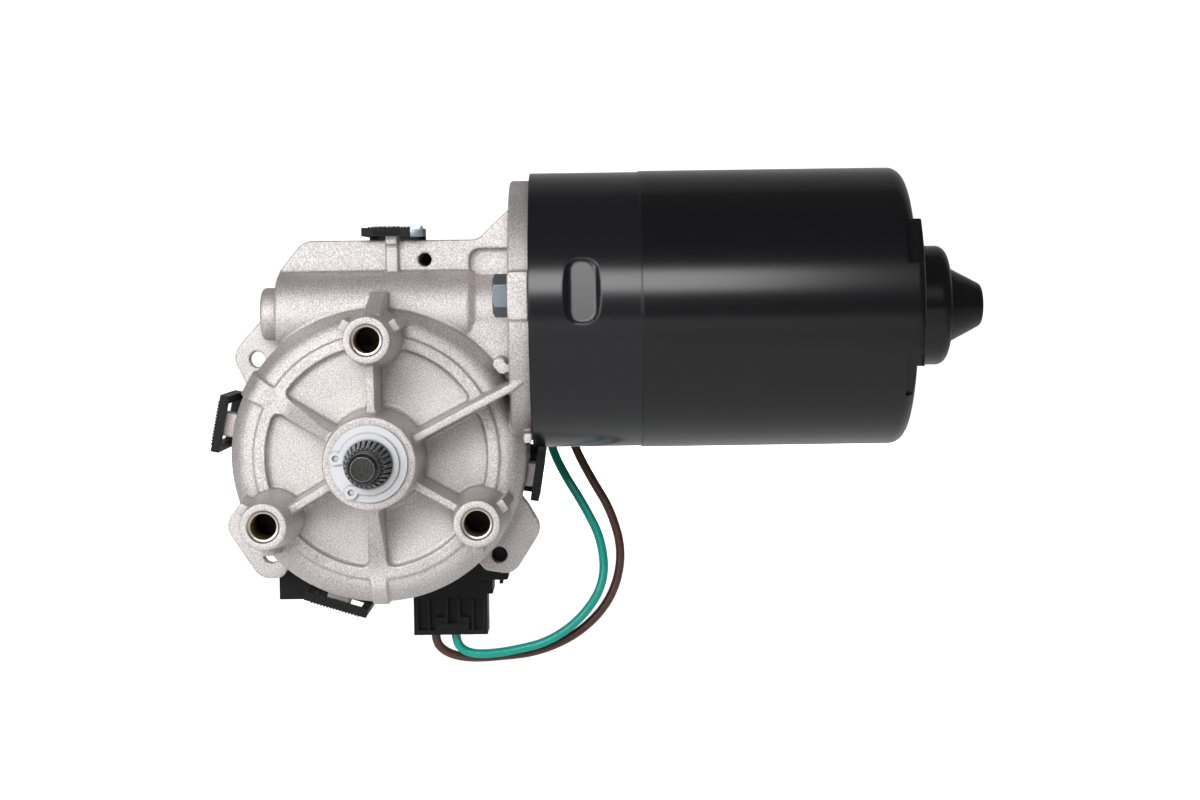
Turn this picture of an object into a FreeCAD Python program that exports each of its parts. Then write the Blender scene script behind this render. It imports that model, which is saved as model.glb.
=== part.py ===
import FreeCAD, Part
import math
import os

# Wiper motor: worm gear motor with a die-cast housing.
# Millimetres. X along the can, Z up, Y away from the viewer.
# The origin is the output shaft axis in the plane of the mounting faces.

# Clearances
RUNNING = 0.03
SLIP = 0.2
APART = 0.3
TIP_ROOM = 1.0

# Worm drive
MODULE = 1.0
GEAR_TEETH = 68
GEAR_WIDTH = 10.0
WORM_PITCH_RADIUS = 5.0
WORM_LENGTH = 24.0
TOOTH_PLAY = 0.09
GEAR_DEPTH = 38.0
GEAR_PITCH_RADIUS = MODULE * GEAR_TEETH / 2
GEAR_FRONT = GEAR_DEPTH - GEAR_WIDTH / 2
GEAR_BACK = GEAR_DEPTH + GEAR_WIDTH / 2
CENTRES = GEAR_PITCH_RADIUS + WORM_PITCH_RADIUS
LEAD = math.pi * MODULE
WORM_TIP = WORM_PITCH_RADIUS + MODULE
WORM_ROOT = WORM_PITCH_RADIUS - 1.25 * MODULE

# Gear chamber of the housing, from the front wall to the joint face
WALL = 3.0
CHAMBER_RADIUS = GEAR_PITCH_RADIUS + MODULE + TIP_ROOM
DRUM_RADIUS = CHAMBER_RADIUS + 5.0
CHAMBER_FRONT = GEAR_FRONT - 8.0
PARTING = GEAR_BACK + 9.0
POCKET_FLOOR = CHAMBER_FRONT - WALL
RING_OUTER = DRUM_RADIUS - 7.5
RING_INNER = RING_OUTER - 2.5
RING_LEVEL = CHAMBER_FRONT - 5.0
RIB_CROWN = 8.0
RIB_WIDTH = 1.9
LONG_RIB = 27.2
RIBS = [(-30, 0), (LONG_RIB, 0), (90, 0), (150, 1.8), (210, 0), (270, 1.6)]
POCKET_ROUND = 2.6
POCKET_DRAFT = 0.7
POCKET_FILLET = 1.2

# Mounting bosses
BOSS_CIRCLE = 65.0
BOSS_ANGLES = (90, 210, 330)
BOSS_FACE = 6.25
BOSS_FOOT = 8.0
BOSS_HEIGHT = CHAMBER_FRONT - 4.0
TAP_RADIUS = 3.4
TAP_DEPTH = 17.0
TAP_CHAMFER = (0.9, 0.4)

# Output shaft and its bearing
SHAFT_RADIUS = 6.5
STUD_RADIUS = 4.0
STUD_TIP = -15.1
CONE_START = -2.0
CONE_END = -8.0
CONE_TIP_RADIUS = 5.1
CONE_TEETH = 26
CONE_GROOVE = 0.75
HUB_FACE = 1.0
HUB_RADIUS = 12.5
HUB_DRAFT = 1.0
HUB_FILLET = 1.8
BUSH_WALL = 2.0
WASHER = 0.8
SHIM = 0.5
CIRCLIP = 1.05
CIRCLIP_RADIUS = 8.1
CIRCLIP_GROOVE = 0.5
EYELETS = (169.6, 237.8)
EYELET_CIRCLE = 8.75
EYELET_RADIUS = 1.75
GEAR_SEAT = SHAFT_RADIUS + 0.5
GEAR_HUB_BACK = GEAR_DEPTH + 7.0
GEAR_HUB_RADIUS = 11.0
PARK_DISC = 0.6
PARK_RADIUS = 28.0

# Worm tube, flange and ledge
TUBE_RADIUS = 11.75
TUBE_END = -28.2
RECESS = 25.2
RECESS_TOP = 56.6
RECESS_RADIUS = 10.0
END_BOSS = TUBE_END - 4.5
END_BOSS_RADIUS = 7.4
WORM_BORE = WORM_TIP + TIP_ROOM
FLANGE_FACE = 37.0
CAN_RADIUS = 38.5
FLANGE_RADIUS = CAN_RADIUS - 2.3
SPIGOT_END = FLANGE_FACE + 9.0
LEDGE_FRONT = GEAR_DEPTH - 1.5
LEDGE_HOLE = (12.9, 53.7)
LEDGE_HOLE_RADIUS = 1.85
EAR_FRONT = PARTING - 9.5
EAR_BACK = EAR_FRONT + 4.0
EAR_HOLE = 2.25
EAR_CIRCLE = 44.0
EAR_HOLE_ANGLES = (143.4, 222.0, 316.7)

# Motor can
CAN_MOUTH = FLANGE_FACE + 5.5
CAN_NECK = CAN_RADIUS - 0.3
CAN_STEP = CAN_MOUTH + 30.0
CAN_END = CAN_MOUTH + 102.9
CAN_BAND = 1.6
CAN_SHOULDER = SPIGOT_END + 3.0
YOKE_WALL = 3.0
CAN_BORE = CAN_RADIUS - YOKE_WALL
NOSE_RADIUS = 16.65
NOSE_END = CAN_END + 12.6
DOME_END = NOSE_END + 10.1
DENT = (3.3, 8.4, 1.3)
DENT_SLOPE = 1.4
DENT_ROUND = 2.6
DENT_BEHIND_NUT = 2.9

# Armature
ROTOR_SHAFT = 4.0
JOURNAL = 3.0
BALL_RADIUS = 2.9
SCREW_TIP = TUBE_END + 1.2
STACK = (FLANGE_FACE + 31.0, FLANGE_FACE + 79.0)
AIR_GAP = 0.6
MAGNET_WALL = 6.5
ROTOR_RADIUS = CAN_BORE - 0.1 - MAGNET_WALL - AIR_GAP
SLOTS = 12
SLOT_WIDTH = 6.4
SLOT_FLOOR = ROTOR_RADIUS - 14.3
SLOT_ROOF = ROTOR_RADIUS - 4.8
COIL_GAP = 0.15
COMMUTATOR = (FLANGE_FACE + 13.5, FLANGE_FACE + 25.0)
COMMUTATOR_RADIUS = 11.0
BEARING_RADIUS = 11.0
BEARING_WIDTH = 7.0
BEARING_START = FLANGE_FACE - 0.5
BEARING_BALLS = 7
BEARING_BALL_RADIUS = 2.0
REAR_BUSH_RADIUS = 8.0

# Magnets and brushes
MAGNET_SPAN = 128.0
MAGNET_ENDS = (STACK[0] - 4.0, STACK[1] + 4.0)
BRUSH_WIDTH = 6.0
BRUSH_HEIGHT = 9.0
BRUSH_LENGTH = 10.0
BRUSH_START = COMMUTATOR[0] + 1.7
BOX_WALL = 0.8
SPRING_END = CAN_BORE - 8.5
SPRING_RADIUS = 2.2
SPRING_WIRE = 0.35

# Can bolts
BOLT_REACH = CAN_BORE - 5.2
BOLT_ANGLE = 8.7
BOLT_RADIUS = 2.95
BOLT_HEAD_FLATS = 10.0
BOLT_HEAD = 4.0
BOLT_END = FLANGE_FACE + 21.0
NUT = (SPIGOT_END + 5.0, SPIGOT_END + 10.5)
NUT_FLATS = 9.2
LUG_HALF = 6.4

# Rear cover, its clips and sockets
SEAL = 0.8
COVER_FRONT = PARTING + SEAL
COVER_PLATE = 2.5
COVER_BACK = COVER_FRONT + COVER_PLATE
RIB_HEIGHT = 3.5
CLIP_BAR = 2.3
CLIP_LEG = 2.2
CLIP_FRONT = PARTING - 21.0
CATCH_WIDTH = 3.3
TOP_CLIP_X = 3.9
TOP_CLIP_Z = 60.3
TOP_CLIP_HALF = 8.0
GRIP_PITCH = 0.9
GRIP_DEPTH = 0.25
SOCKET_WALL = 2.0
HARNESS_LEFT = -32.2
HARNESS_WIDTH = 23.2
HARNESS_THICKNESS = 15.2
HARNESS_BOTTOM = -43.7
HARNESS_FLOOR = -33.0
FOOT_RIGHT = 34.3
FOOT_REACH = 38.0

# Plug of the motor wires
PLUG_LEFT = 6.3
PLUG_WIDTH = 21.4
PLUG_FRONT = COVER_FRONT + 1.7
PLUG_THICKNESS = 11.0
PLUG_BOTTOM = -55.0
PLUG_HEIGHT = 11.9
PLUG_TOP = PLUG_BOTTOM + PLUG_HEIGHT
LATCH = [
    (9.0, 10.0, PLUG_FRONT - 0.2, 1.5, 10.9), (12.6, 13.6, PLUG_FRONT - 0.2, 1.5, 10.9),
    (6.5, 16.0, PLUG_FRONT - 0.4, 1.4, 3.4), (6.5, 9.0, PLUG_FRONT, 3.2, 5.2),
    (13.6, 16.0, PLUG_FRONT, 3.2, 5.2),
    (7.9, 14.4, PLUG_FRONT - 0.9, 1.9, 3.1),
]
TONGUE = 6.0
TONGUE_INSET = 1.5
BLADE = 0.8
BLADE_WIDTH = 2.8
BLADE_DEPTH = 2.0

# Wires
WIRE_RADIUS = 1.3
WIRE_EXITS = (12.2, 18.1)
GROMMET_FACE = CAN_RADIUS + 2.8
GROMMET_ANGLE = 45.0
GROMMET_HALF = 4.5
GROMMET_LENGTH = 10.8

# Outlines in X and Z, with the rounding of a corner where it has one
LEDGE = [
    (-28.0, 20.0), (-27.9, 50.8, 2), (-20.8, 59.3, 5), (27.6, 59.1, 4), (37.0, 68.0, 2),
    (39.6, 74.0), (39.6, 66.0), (36.3, 60.0), (36.3, 20.0),
]
EARS = [
    [(-36, 14), (-42.6, 27.6, 5), (-34, 37.4, 3), (-28, 41), (-20, 30)],
    [(-38, -10), (-46.0, -20.8, 5), (-35.8, -36.4, 5.5), (-29.6, -35.8, 2.5), (-26, -30), (-30, -20)],
    [(36, -10), (40.6, -16.0, 3), (44.4, -22.8, 5), (35.9, -36.0, 5), (28.0, -34.6, 2), (24, -30),
     (30, -20)],
]

# Clips: angle of the middle, distance to the inside of the bar, half length
CLIPS = [(168.6, 44.2, 8.0), (350.9, 43.0, 6.8), (252.5, 43.0, 9.0)]


def vec(x, y, z):
    return FreeCAD.Vector(x, y, z)


ORIGIN = vec(0, 0, 0)
ALONG_X = vec(1, 0, 0)
ALONG_Y = vec(0, 1, 0)
ALONG_Z = vec(0, 0, 1)
WORM_LINE = vec(0, GEAR_DEPTH, CENTRES)


# Shape helpers
def rod_y(radius, y0, y1, x=0.0, z=0.0):
    return Part.makeCylinder(radius, y1 - y0, vec(x, y0, z), ALONG_Y)


def rod_x(radius, x0, x1, y=GEAR_DEPTH, z=CENTRES):
    return Part.makeCylinder(radius, x1 - x0, vec(x0, y, z), ALONG_X)


def tube_y(outer, inner, y0, y1):
    return rod_y(outer, y0, y1).cut(rod_y(inner, y0, y1))


def tube_x(outer, inner, x0, x1):
    return rod_x(outer, x0, x1).cut(rod_x(inner, x0, x1))


def box(x0, x1, y0, y1, z0, z1):
    return Part.makeBox(x1 - x0, y1 - y0, z1 - z0, vec(x0, y0, z0))


def merged(shapes):
    return shapes[0].multiFuse(shapes[1:]).removeSplitter()


def less(shape, tools):
    return shape.cut(Part.makeCompound(tools))


def outline(corners, place):
    """Face through corners (u, v, rounding), with tangent arcs at the rounded ones."""
    flat = [vec(c[0], c[1], 0) for c in corners]
    rounding = [c[2] if len(c) > 2 else 0.0 for c in corners]
    joins = []
    for i, here in enumerate(flat):
        back = (flat[i - 1] - here).normalize()
        ahead = (flat[(i + 1) % len(flat)] - here).normalize()
        half = back.getAngle(ahead) / 2
        reach = rounding[i] / math.tan(half)
        lift = rounding[i] / math.sin(half) - rounding[i]
        middle = here + (back + ahead).normalize() * lift if rounding[i] else here
        joins.append((here + back * reach, middle, here + ahead * reach))
    edges = []
    for i, (start, middle, end) in enumerate(joins):
        if rounding[i]:
            arc = Part.Arc(place(start), place(middle), place(end))
            edges.append(arc.toShape())
        following = joins[(i + 1) % len(joins)][0]
        if (following - end).Length > 1e-6:
            edges.append(Part.makeLine(place(end), place(following)))
    return Part.Face(Part.Wire(edges))


def plate(corners, y0, y1):
    """Plate with an outline in X and Z, from depth y0 to y1."""
    face = outline(corners, lambda p: vec(p.x, y0, p.y))
    return face.extrude(vec(0, y1 - y0, 0))


def turned_y(corners):
    """Body of radius and depth corners, turned about the output shaft."""
    face = outline(corners, lambda p: vec(p.x, p.y, 0))
    return face.revolve(ORIGIN, ALONG_Y, 360)


def turned_x(corners):
    """Body of X and radius corners, turned about the worm line."""
    face = outline(corners, lambda p: WORM_LINE + vec(p.x, 0, p.y))
    return face.revolve(WORM_LINE, ALONG_X, 360)


def blade(corners, width):
    """Upright web of radius and depth corners, pointing along X."""
    face = outline(corners, lambda p: vec(p.x, p.y, -width / 2))
    return face.extrude(vec(0, 0, width))


def aim(shape, angle):
    """Turn a shape about the output shaft, from X towards Z."""
    turned = shape.copy()
    turned.rotate(ORIGIN, ALONG_Y, -angle)
    return turned


def swing(shape, angle):
    """Turn a shape about the worm line, from below towards the back."""
    turned = shape.copy()
    turned.rotate(WORM_LINE, ALONG_X, angle)
    return turned


def placed(shape):
    """Shape made about X, moved onto the worm line."""
    shape.translate(WORM_LINE)
    return shape


def polar(radius, angle):
    return (radius * math.cos(math.radians(angle)), radius * math.sin(math.radians(angle)))


# Gear housing
def drum():
    """Pan over the gear: a shallow dome with six rounded pockets between its ribs, and the hub."""
    pan = turned_y([
        (0, RIB_CROWN), (HUB_RADIUS + 1, RIB_CROWN), (RING_INNER - 2, RING_LEVEL, 10),
        (RING_OUTER, RING_LEVEL, 0.2), (RING_OUTER, RING_LEVEL + 0.8),
        (DRUM_RADIUS - 4.2, RING_LEVEL + 0.8, 5), (DRUM_RADIUS - 0.4, CHAMBER_FRONT + 1, 4),
        (DRUM_RADIUS, EAR_FRONT - 2.5), (DRUM_RADIUS, PARTING), (0, PARTING),
    ])
    foot = HUB_RADIUS + HUB_DRAFT
    hub = turned_y([
        (0, HUB_FACE), (HUB_RADIUS, HUB_FACE, 0.6), (foot, POCKET_FLOOR, HUB_FILLET),
        (foot + 2 * HUB_FILLET, POCKET_FLOOR + 0.1), (foot + 2 * HUB_FILLET, CHAMBER_FRONT),
        (0, CHAMBER_FRONT),
    ])
    return merged([less(pan, pockets()), hub])


def pockets():
    """Pockets between neighbouring ribs, each with rounded corners and drawn out towards the front."""
    disc = Part.Face(Part.Wire(Part.Circle(ORIGIN, ALONG_Y, RING_INNER).toShape()))
    hole = Part.Face(Part.Wire(Part.Circle(ORIGIN, ALONG_Y, HUB_RADIUS).toShape()))
    ring = disc.cut(hole)
    cuts = []
    for i, (angle, spread) in enumerate(RIBS):
        following, next_spread = RIBS[(i + 1) % len(RIBS)]
        low = beside(angle, RIB_WIDTH / 2)
        high = beside(following, -RIB_WIDTH / 2)
        wedge = Part.Face(Part.makePolygon([
            low, low + far(angle + spread), high + far(following - next_spread), high, low,
        ]))
        sector = ring.common(wedge).Faces[0]
        sector = sector.makeOffset2D(-POCKET_ROUND, join=2)
        mouth = sector.makeOffset2D(POCKET_ROUND, join=0).OuterWire
        floor = sector.makeOffset2D(POCKET_ROUND - POCKET_DRAFT, join=0).OuterWire
        mouth.translate(vec(0, RIB_CROWN - 1, 0))
        floor.translate(vec(0, POCKET_FLOOR, 0))
        room = Part.makeLoft([mouth, floor], True, True)
        bottom = [edge for edge in room.Edges if edge.BoundBox.YMin > POCKET_FLOOR - 0.1]
        cuts.append(room.makeFillet(POCKET_FILLET, bottom))
    return cuts


def far(angle):
    """Step from the output shaft to well outside the drum, along the ray at this angle."""
    x, z = polar(2 * DRUM_RADIUS, angle)
    return vec(x, 0, z)


def beside(angle, offset):
    """Point next to the output shaft, on a line beside the ray at this angle."""
    x, z = polar(offset, angle + 90)
    return vec(x, 0, z)


def level_rib(end, crown, floor):
    """Drafted rib along X from the hub, with its crown at one depth."""
    start = HUB_RADIUS - 1
    half = RIB_WIDTH / 2 + 0.1
    foot = half + POCKET_DRAFT
    section = outline([(-half, crown), (half, crown), (foot, floor), (-foot, floor)],
                      lambda p: vec(start, p.y, p.x))
    return section.extrude(vec(end - start, 0, 0))


def boss(angle):
    """Mounting boss with its rib, and a gusset fin at each side of its outer half."""
    reach = BOSS_CIRCLE / 2
    cone = Part.makeCone(BOSS_FACE, BOSS_FOOT, BOSS_HEIGHT, vec(reach, 0, 0), ALONG_Y)
    foot = rod_y(BOSS_FOOT, BOSS_HEIGHT, CHAMBER_FRONT + 5, x=reach)
    pieces = [cone, foot, level_rib(reach - 4, RIB_CROWN, POCKET_FLOOR + 1)]
    for side in (61, -61):
        fin = blade([(5, 6.5, 0.5), (8.4, 7.5, 0.5), (9.9, BOSS_HEIGHT + 2), (5, BOSS_HEIGHT + 2)], 3.0)
        fin.rotate(ORIGIN, ALONG_Y, side)
        fin.translate(vec(reach, 0, 0))
        pieces.append(fin)
    return aim(merged(pieces), angle)


def ribs():
    """Bands that carry two ribs over the shoulder, and the long rib to the flange."""
    outer = DRUM_RADIUS + 0.3
    band = [
        (RING_INNER - 1, RING_LEVEL), (outer - 3.5, RING_LEVEL, 5), (outer, CHAMBER_FRONT + 0.6, 4),
        (outer, GEAR_DEPTH - 2), (RING_INNER - 1, GEAR_DEPTH - 2),
    ]
    taper = [(RING_INNER - 2, -2.6), (outer + 1, -3.8), (outer + 1, 3.8), (RING_INNER - 2, 2.6)]
    wide = plate(taper, 0, GEAR_DEPTH)
    tip = DRUM_RADIUS + 5.1
    point = plate([(0, -3), (RING_OUTER, -3), (tip, -0.2), (tip, 0.2), (RING_OUTER, 3), (0, 3)], 0,
                  GEAR_DEPTH)
    crown = RIB_CROWN - 1.5
    side = blade([
        (0, crown), (tip, crown), (tip, RING_LEVEL), (DRUM_RADIUS + 1, GEAR_DEPTH - 4),
        (RING_INNER, GEAR_DEPTH - 4), (RING_INNER - 4, POCKET_FLOOR + 1), (0, POCKET_FLOOR + 1),
    ], 8)
    return [
        aim(blade(band, 4.4), 270),
        aim(blade(band, 12).common(wide), 150),
        aim(level_rib(tip, crown, GEAR_DEPTH - 4).common(point).common(side), LONG_RIB),
    ]


def worm_tube():
    """Tube round the worm, necked down behind the bolt heads and flared into the flange."""
    return turned_x([
        (END_BOSS, 0), (END_BOSS, END_BOSS_RADIUS, 1.2), (TUBE_END, END_BOSS_RADIUS),
        (TUBE_END, TUBE_RADIUS, 1.5), (RECESS, TUBE_RADIUS, 1.5), (RECESS + 2.0, RECESS_RADIUS, 1.5),
        (FLANGE_FACE, RECESS_RADIUS, 1.5), (FLANGE_FACE, FLANGE_RADIUS, 0.8),
        (SPIGOT_END, FLANGE_RADIUS, 0.5),
        (SPIGOT_END, 0),
    ])


def ledge():
    """Plate beside the worm tube that carries the rear joint face."""
    front = plate(LEDGE[1:-1] + [(36.3, EAR_FRONT - 0.5), (-28, EAR_FRONT - 0.5)], LEDGE_FRONT, PARTING)
    scoop = plate([(RECESS, CENTRES, 1), (RECESS, RECESS_TOP, 3), (FLANGE_FACE, RECESS_TOP, 2),
                   (FLANGE_FACE, CENTRES, 1)], LEDGE_FRONT - 1, LEDGE_FRONT + 2.6)
    back = plate(LEDGE, PARTING - 6.0, PARTING)
    return merged([front.cut(scoop), back])


def catch(clip):
    """Cast lug that a clip of the rear cover snaps behind."""
    angle, reach, half = clip
    lug = box(DRUM_RADIUS - 2, reach + CLIP_BAR - 0.5, CLIP_FRONT + CLIP_BAR + SLIP, GEAR_DEPTH + 2,
              -CATCH_WIDTH, CATCH_WIDTH)
    return aim(lug, angle)


def top_catch():
    """Rib on the ledge that ends in the catch of the top clip."""
    half = CATCH_WIDTH / 2
    front = CLIP_FRONT + CLIP_BAR + SLIP
    rib = box(TOP_CLIP_X - half, TOP_CLIP_X + half, LEDGE_FRONT - 1.6, EAR_FRONT, CENTRES + 10.5, TOP_CLIP_Z)
    hook = box(TOP_CLIP_X - half, TOP_CLIP_X + half, front, EAR_FRONT, TOP_CLIP_Z - 2.3,
               TOP_CLIP_Z + CLIP_BAR - 0.5)
    return rib.fuse(hook)


def bolt_lug():
    """Thickened flange rim beside the front can bolt."""
    y, z = bolt_centres()[0]
    low, high = z - LUG_HALF, z + LUG_HALF
    return plate([(FLANGE_FACE, low, 1.2), (CAN_MOUTH, low), (CAN_MOUTH, high), (FLANGE_FACE, high, 1.2)],
                 GEAR_DEPTH - CAN_NECK + 1.1, y + 4)


def gear_housing():
    gusset = outline([(33, 5), (39.4, 5), (44.7, 24, 0.8), (44.7, 30), (33, 30)],
                     lambda p: vec(-1.3, p.y, p.x)).extrude(vec(4.7, 0, 0))
    pad = plate([(31.6, 25.4, 1.6), (34.6, 22.0, 1.6), (37.5, 23.4, 1.6), (34.4, 27.6, 1.6)], 15, 34)
    web = plate([(22, 36), (FLANGE_FACE + 1, 36), (40, 8), (30, 8)], GEAR_DEPTH - RECESS_RADIUS, 44)
    toe = box(40.4, CAN_MOUTH, 14, 28, 3.8, 6.4)
    solid = merged(
        [drum(), worm_tube(), ledge(), gusset, pad, web, toe, bolt_lug(), top_catch()]
        + [boss(angle) for angle in BOSS_ANGLES]
        + ribs()
        + [plate(ear, EAR_FRONT, EAR_BACK) for ear in EARS]
        + [catch(clip) for clip in CLIPS]
    )
    cuts = [
        rod_y(SHAFT_RADIUS + BUSH_WALL, HUB_FACE, CHAMBER_FRONT),
        rod_y(CHAMBER_RADIUS, CHAMBER_FRONT, PARTING),
        rod_x(WORM_BORE, SCREW_TIP + 1, BEARING_START),
        rod_x(STUD_RADIUS, END_BOSS, SCREW_TIP + 1),
        rod_x(BEARING_RADIUS, BEARING_START, SPIGOT_END),
        rod_y(LEDGE_HOLE_RADIUS, LEDGE_FRONT - 2, PARTING, *LEDGE_HOLE),
        plate([(-24.5, 52.2), (-19.6, 56.6, 2), (10, 56.6, 1), (10, 52.2, 1)], LEDGE_FRONT + 3.5, PARTING),
        plate([(16, 52.2, 1), (16, 56.6, 1), (26.8, 56.6, 1), (26.8, 52.2, 1)], LEDGE_FRONT + 3.5, PARTING),
    ]
    for angle in BOSS_ANGLES:
        x, z = polar(BOSS_CIRCLE / 2, angle)
        cuts.append(rod_y(TAP_RADIUS, 0, TAP_DEPTH, x=x, z=z))
        chamfer, depth = TAP_CHAMFER
        cuts.append(Part.makeCone(TAP_RADIUS + chamfer, TAP_RADIUS, depth, vec(x, 0, z), ALONG_Y))
    for angle in EAR_HOLE_ANGLES:
        x, z = polar(EAR_CIRCLE, angle)
        cuts.append(rod_y(EAR_HOLE, EAR_FRONT - 1, EAR_BACK + 1, x=x, z=z))
    for y, z in bolt_centres():
        cuts.append(rod_x(BOLT_RADIUS + APART, FLANGE_FACE - 2, SPIGOT_END, y=y, z=z))
    return less(solid, cuts)


# Output shaft assembly
def toothed(count, outer, inner, y, land=0.2):
    """Closed ring of knurl teeth at depth y."""
    points = []
    for i in range(count):
        for radius, share in ((outer, -land), (outer, land), (inner, 0.5)):
            x, z = polar(radius, 360 * (i + share) / count)
            points.append(vec(x, y, z))
    return Part.makePolygon(points + points[:1])


def output_bush():
    return tube_y(SHAFT_RADIUS + BUSH_WALL, SHAFT_RADIUS, HUB_FACE + 0.8, CHAMBER_FRONT)


def output_shaft():
    journal = SHAFT_RADIUS - RUNNING
    groove = SHAFT_RADIUS - CIRCLIP_GROOVE
    core = CONE_TIP_RADIUS - 0.9
    gear_start = CHAMBER_FRONT + SLIP + SHIM
    body = turned_y([
        (0, STUD_TIP), (STUD_RADIUS - 0.9, STUD_TIP), (STUD_RADIUS, STUD_TIP + 0.9), (STUD_RADIUS, CONE_END),
        (core, CONE_END), (core, CONE_START), (journal, CONE_START), (journal, -CIRCLIP - 0.05),
        (groove, -CIRCLIP - 0.05), (groove, 0), (journal, 0), (journal, gear_start),
        (GEAR_SEAT, gear_start), (GEAR_SEAT, GEAR_HUB_BACK + 0.6, 0.5), (0, GEAR_HUB_BACK + 0.6),
    ])
    base = toothed(CONE_TEETH, journal, journal - CONE_GROOVE, CONE_START)
    top = toothed(CONE_TEETH, CONE_TIP_RADIUS, CONE_TIP_RADIUS - 0.6, CONE_END)
    return merged([body, Part.makeLoft([base, top], True, True)])


def circlip():
    """Retaining ring with two eyelets beside its gap."""
    inner = SHAFT_RADIUS - CIRCLIP_GROOVE + 0.05
    centres = [polar(EYELET_CIRCLE, angle) for angle in EYELETS]
    eyelets = [rod_y(EYELET_RADIUS, -CIRCLIP, 0, *centre) for centre in centres]
    holes = [rod_y(EYELET_RADIUS / 2, -CIRCLIP, 0, *centre) for centre in centres]
    holes.append(rod_y(inner, -CIRCLIP, 0))
    middle = sum(EYELETS) / 2
    far = 2 * EYELET_CIRCLE
    gap = plate([(2, 0), polar(far, EYELETS[0] + 9.9), polar(far, middle), polar(far, EYELETS[1] - 9.9)],
                -CIRCLIP, 0)
    return less(merged([tube_y(CIRCLIP_RADIUS, inner, -CIRCLIP, 0)] + eyelets), holes + [less(gap, eyelets)])


def thrust_washer():
    return tube_y(10.2, SHAFT_RADIUS + 0.1, 0, WASHER)


def shim_washer():
    return tube_y(GEAR_HUB_RADIUS - 0.5, SHAFT_RADIUS + 0.1, CHAMBER_FRONT + SLIP,
                  CHAMBER_FRONT + SLIP + SHIM)


def gear_outline(y):
    """Toothed rim section at depth y, turned along the worm's lead."""
    lean = (y - GEAR_DEPTH) * LEAD / (2 * math.pi * WORM_PITCH_RADIUS) / GEAR_PITCH_RADIUS
    half_pitch = math.pi * MODULE / 4 - TOOTH_PLAY
    flank = [
        (GEAR_PITCH_RADIUS - 1.25 * MODULE, half_pitch + 0.38),
        (GEAR_PITCH_RADIUS, half_pitch),
        (GEAR_PITCH_RADIUS + MODULE, half_pitch - 0.42),
    ]
    points = []
    for tooth in range(GEAR_TEETH):
        middle = math.pi / 2 + math.pi / GEAR_TEETH + 2 * math.pi * tooth / GEAR_TEETH - lean
        section = [(r, -t) for r, t in flank] + [(r, t) for r, t in reversed(flank)]
        for radius, shift in section:
            angle = middle + shift / radius
            points.append(vec(radius * math.cos(angle), y, radius * math.sin(angle)))
    return Part.makePolygon(points + points[:1])


def drive_gear():
    """Moulded worm wheel with a ribbed web."""
    rim_bore = GEAR_PITCH_RADIUS - 4
    start = CHAMBER_FRONT + SLIP + SHIM
    rim = Part.makeLoft([gear_outline(GEAR_FRONT), gear_outline(GEAR_BACK)], True, True)
    rim = rim.cut(rod_y(rim_bore, GEAR_FRONT, GEAR_BACK))
    web = turned_y([
        (GEAR_SEAT, start), (GEAR_HUB_RADIUS, start), (GEAR_HUB_RADIUS, GEAR_DEPTH - 2, 2),
        (rim_bore + 0.5, GEAR_DEPTH - 2), (rim_bore + 0.5, GEAR_BACK), (GEAR_HUB_RADIUS, GEAR_BACK),
        (GEAR_HUB_RADIUS, GEAR_HUB_BACK), (GEAR_SEAT, GEAR_HUB_BACK),
    ])
    inner = GEAR_SEAT + 2
    rib = blade([(inner, GEAR_FRONT - 3, 1), (rim_bore + 1, GEAR_FRONT + 1), (rim_bore + 1, GEAR_DEPTH),
                 (inner, GEAR_DEPTH)], 2)
    return merged([rim, web] + [aim(rib, 45 * i) for i in range(8)])


def park_disc():
    """Contact disc of the park switch with its gap in the outer track."""
    face = GEAR_BACK + PARK_DISC
    disc = tube_y(PARK_RADIUS, GEAR_HUB_RADIUS + 1, GEAR_BACK, face)
    track = PARK_RADIUS - 7.5
    far = PARK_RADIUS + 6
    gap = plate([polar(track, 60), polar(track, 100), polar(far, 100), polar(far, 60)], GEAR_BACK, face)
    window = tube_y(track - 0.5, track - 3, GEAR_BACK, face)
    window = window.common(plate([(0, 0), polar(far, 150), polar(far, 190), polar(far, 230)], GEAR_BACK,
                                 face))
    return less(disc, [gap, window])


# Armature assembly
def armature_shaft():
    """Shaft with the worm rolled into it."""
    worm_start = -WORM_LENGTH / 2
    body = turned_x([
        (SCREW_TIP + 2 * BALL_RADIUS + 0.1, 0), (SCREW_TIP + 2 * BALL_RADIUS + 0.1, JOURNAL),
        (worm_start - 2.5, JOURNAL), (worm_start - 2.5, WORM_ROOT), (-worm_start + 5, WORM_ROOT),
        (-worm_start + 6, ROTOR_SHAFT), (NOSE_END + 3, ROTOR_SHAFT, 0.8), (NOSE_END + 3, 0),
    ])
    turns = math.floor(WORM_LENGTH / LEAD)
    helix = Part.makeHelix(LEAD, LEAD * turns, WORM_PITCH_RADIUS)
    half = LEAD / 4 - TOOTH_PLAY
    slope = math.tan(math.radians(20))
    foot = WORM_ROOT - 0.3
    section = [
        vec(foot, 0, -half - (WORM_PITCH_RADIUS - foot) * slope), vec(WORM_TIP, 0, -half + MODULE * slope),
        vec(WORM_TIP, 0, half - MODULE * slope), vec(foot, 0, half + (WORM_PITCH_RADIUS - foot) * slope),
    ]
    profile = Part.makePolygon(section + section[:1])
    thread = Part.Wire(helix.Edges).makePipeShell([profile], True, True)
    thread.rotate(ORIGIN, ALONG_Y, 90)
    thread.translate(WORM_LINE + vec(-LEAD * math.floor(turns / 2), 0, 0))
    return body.fuse(thread)


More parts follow.
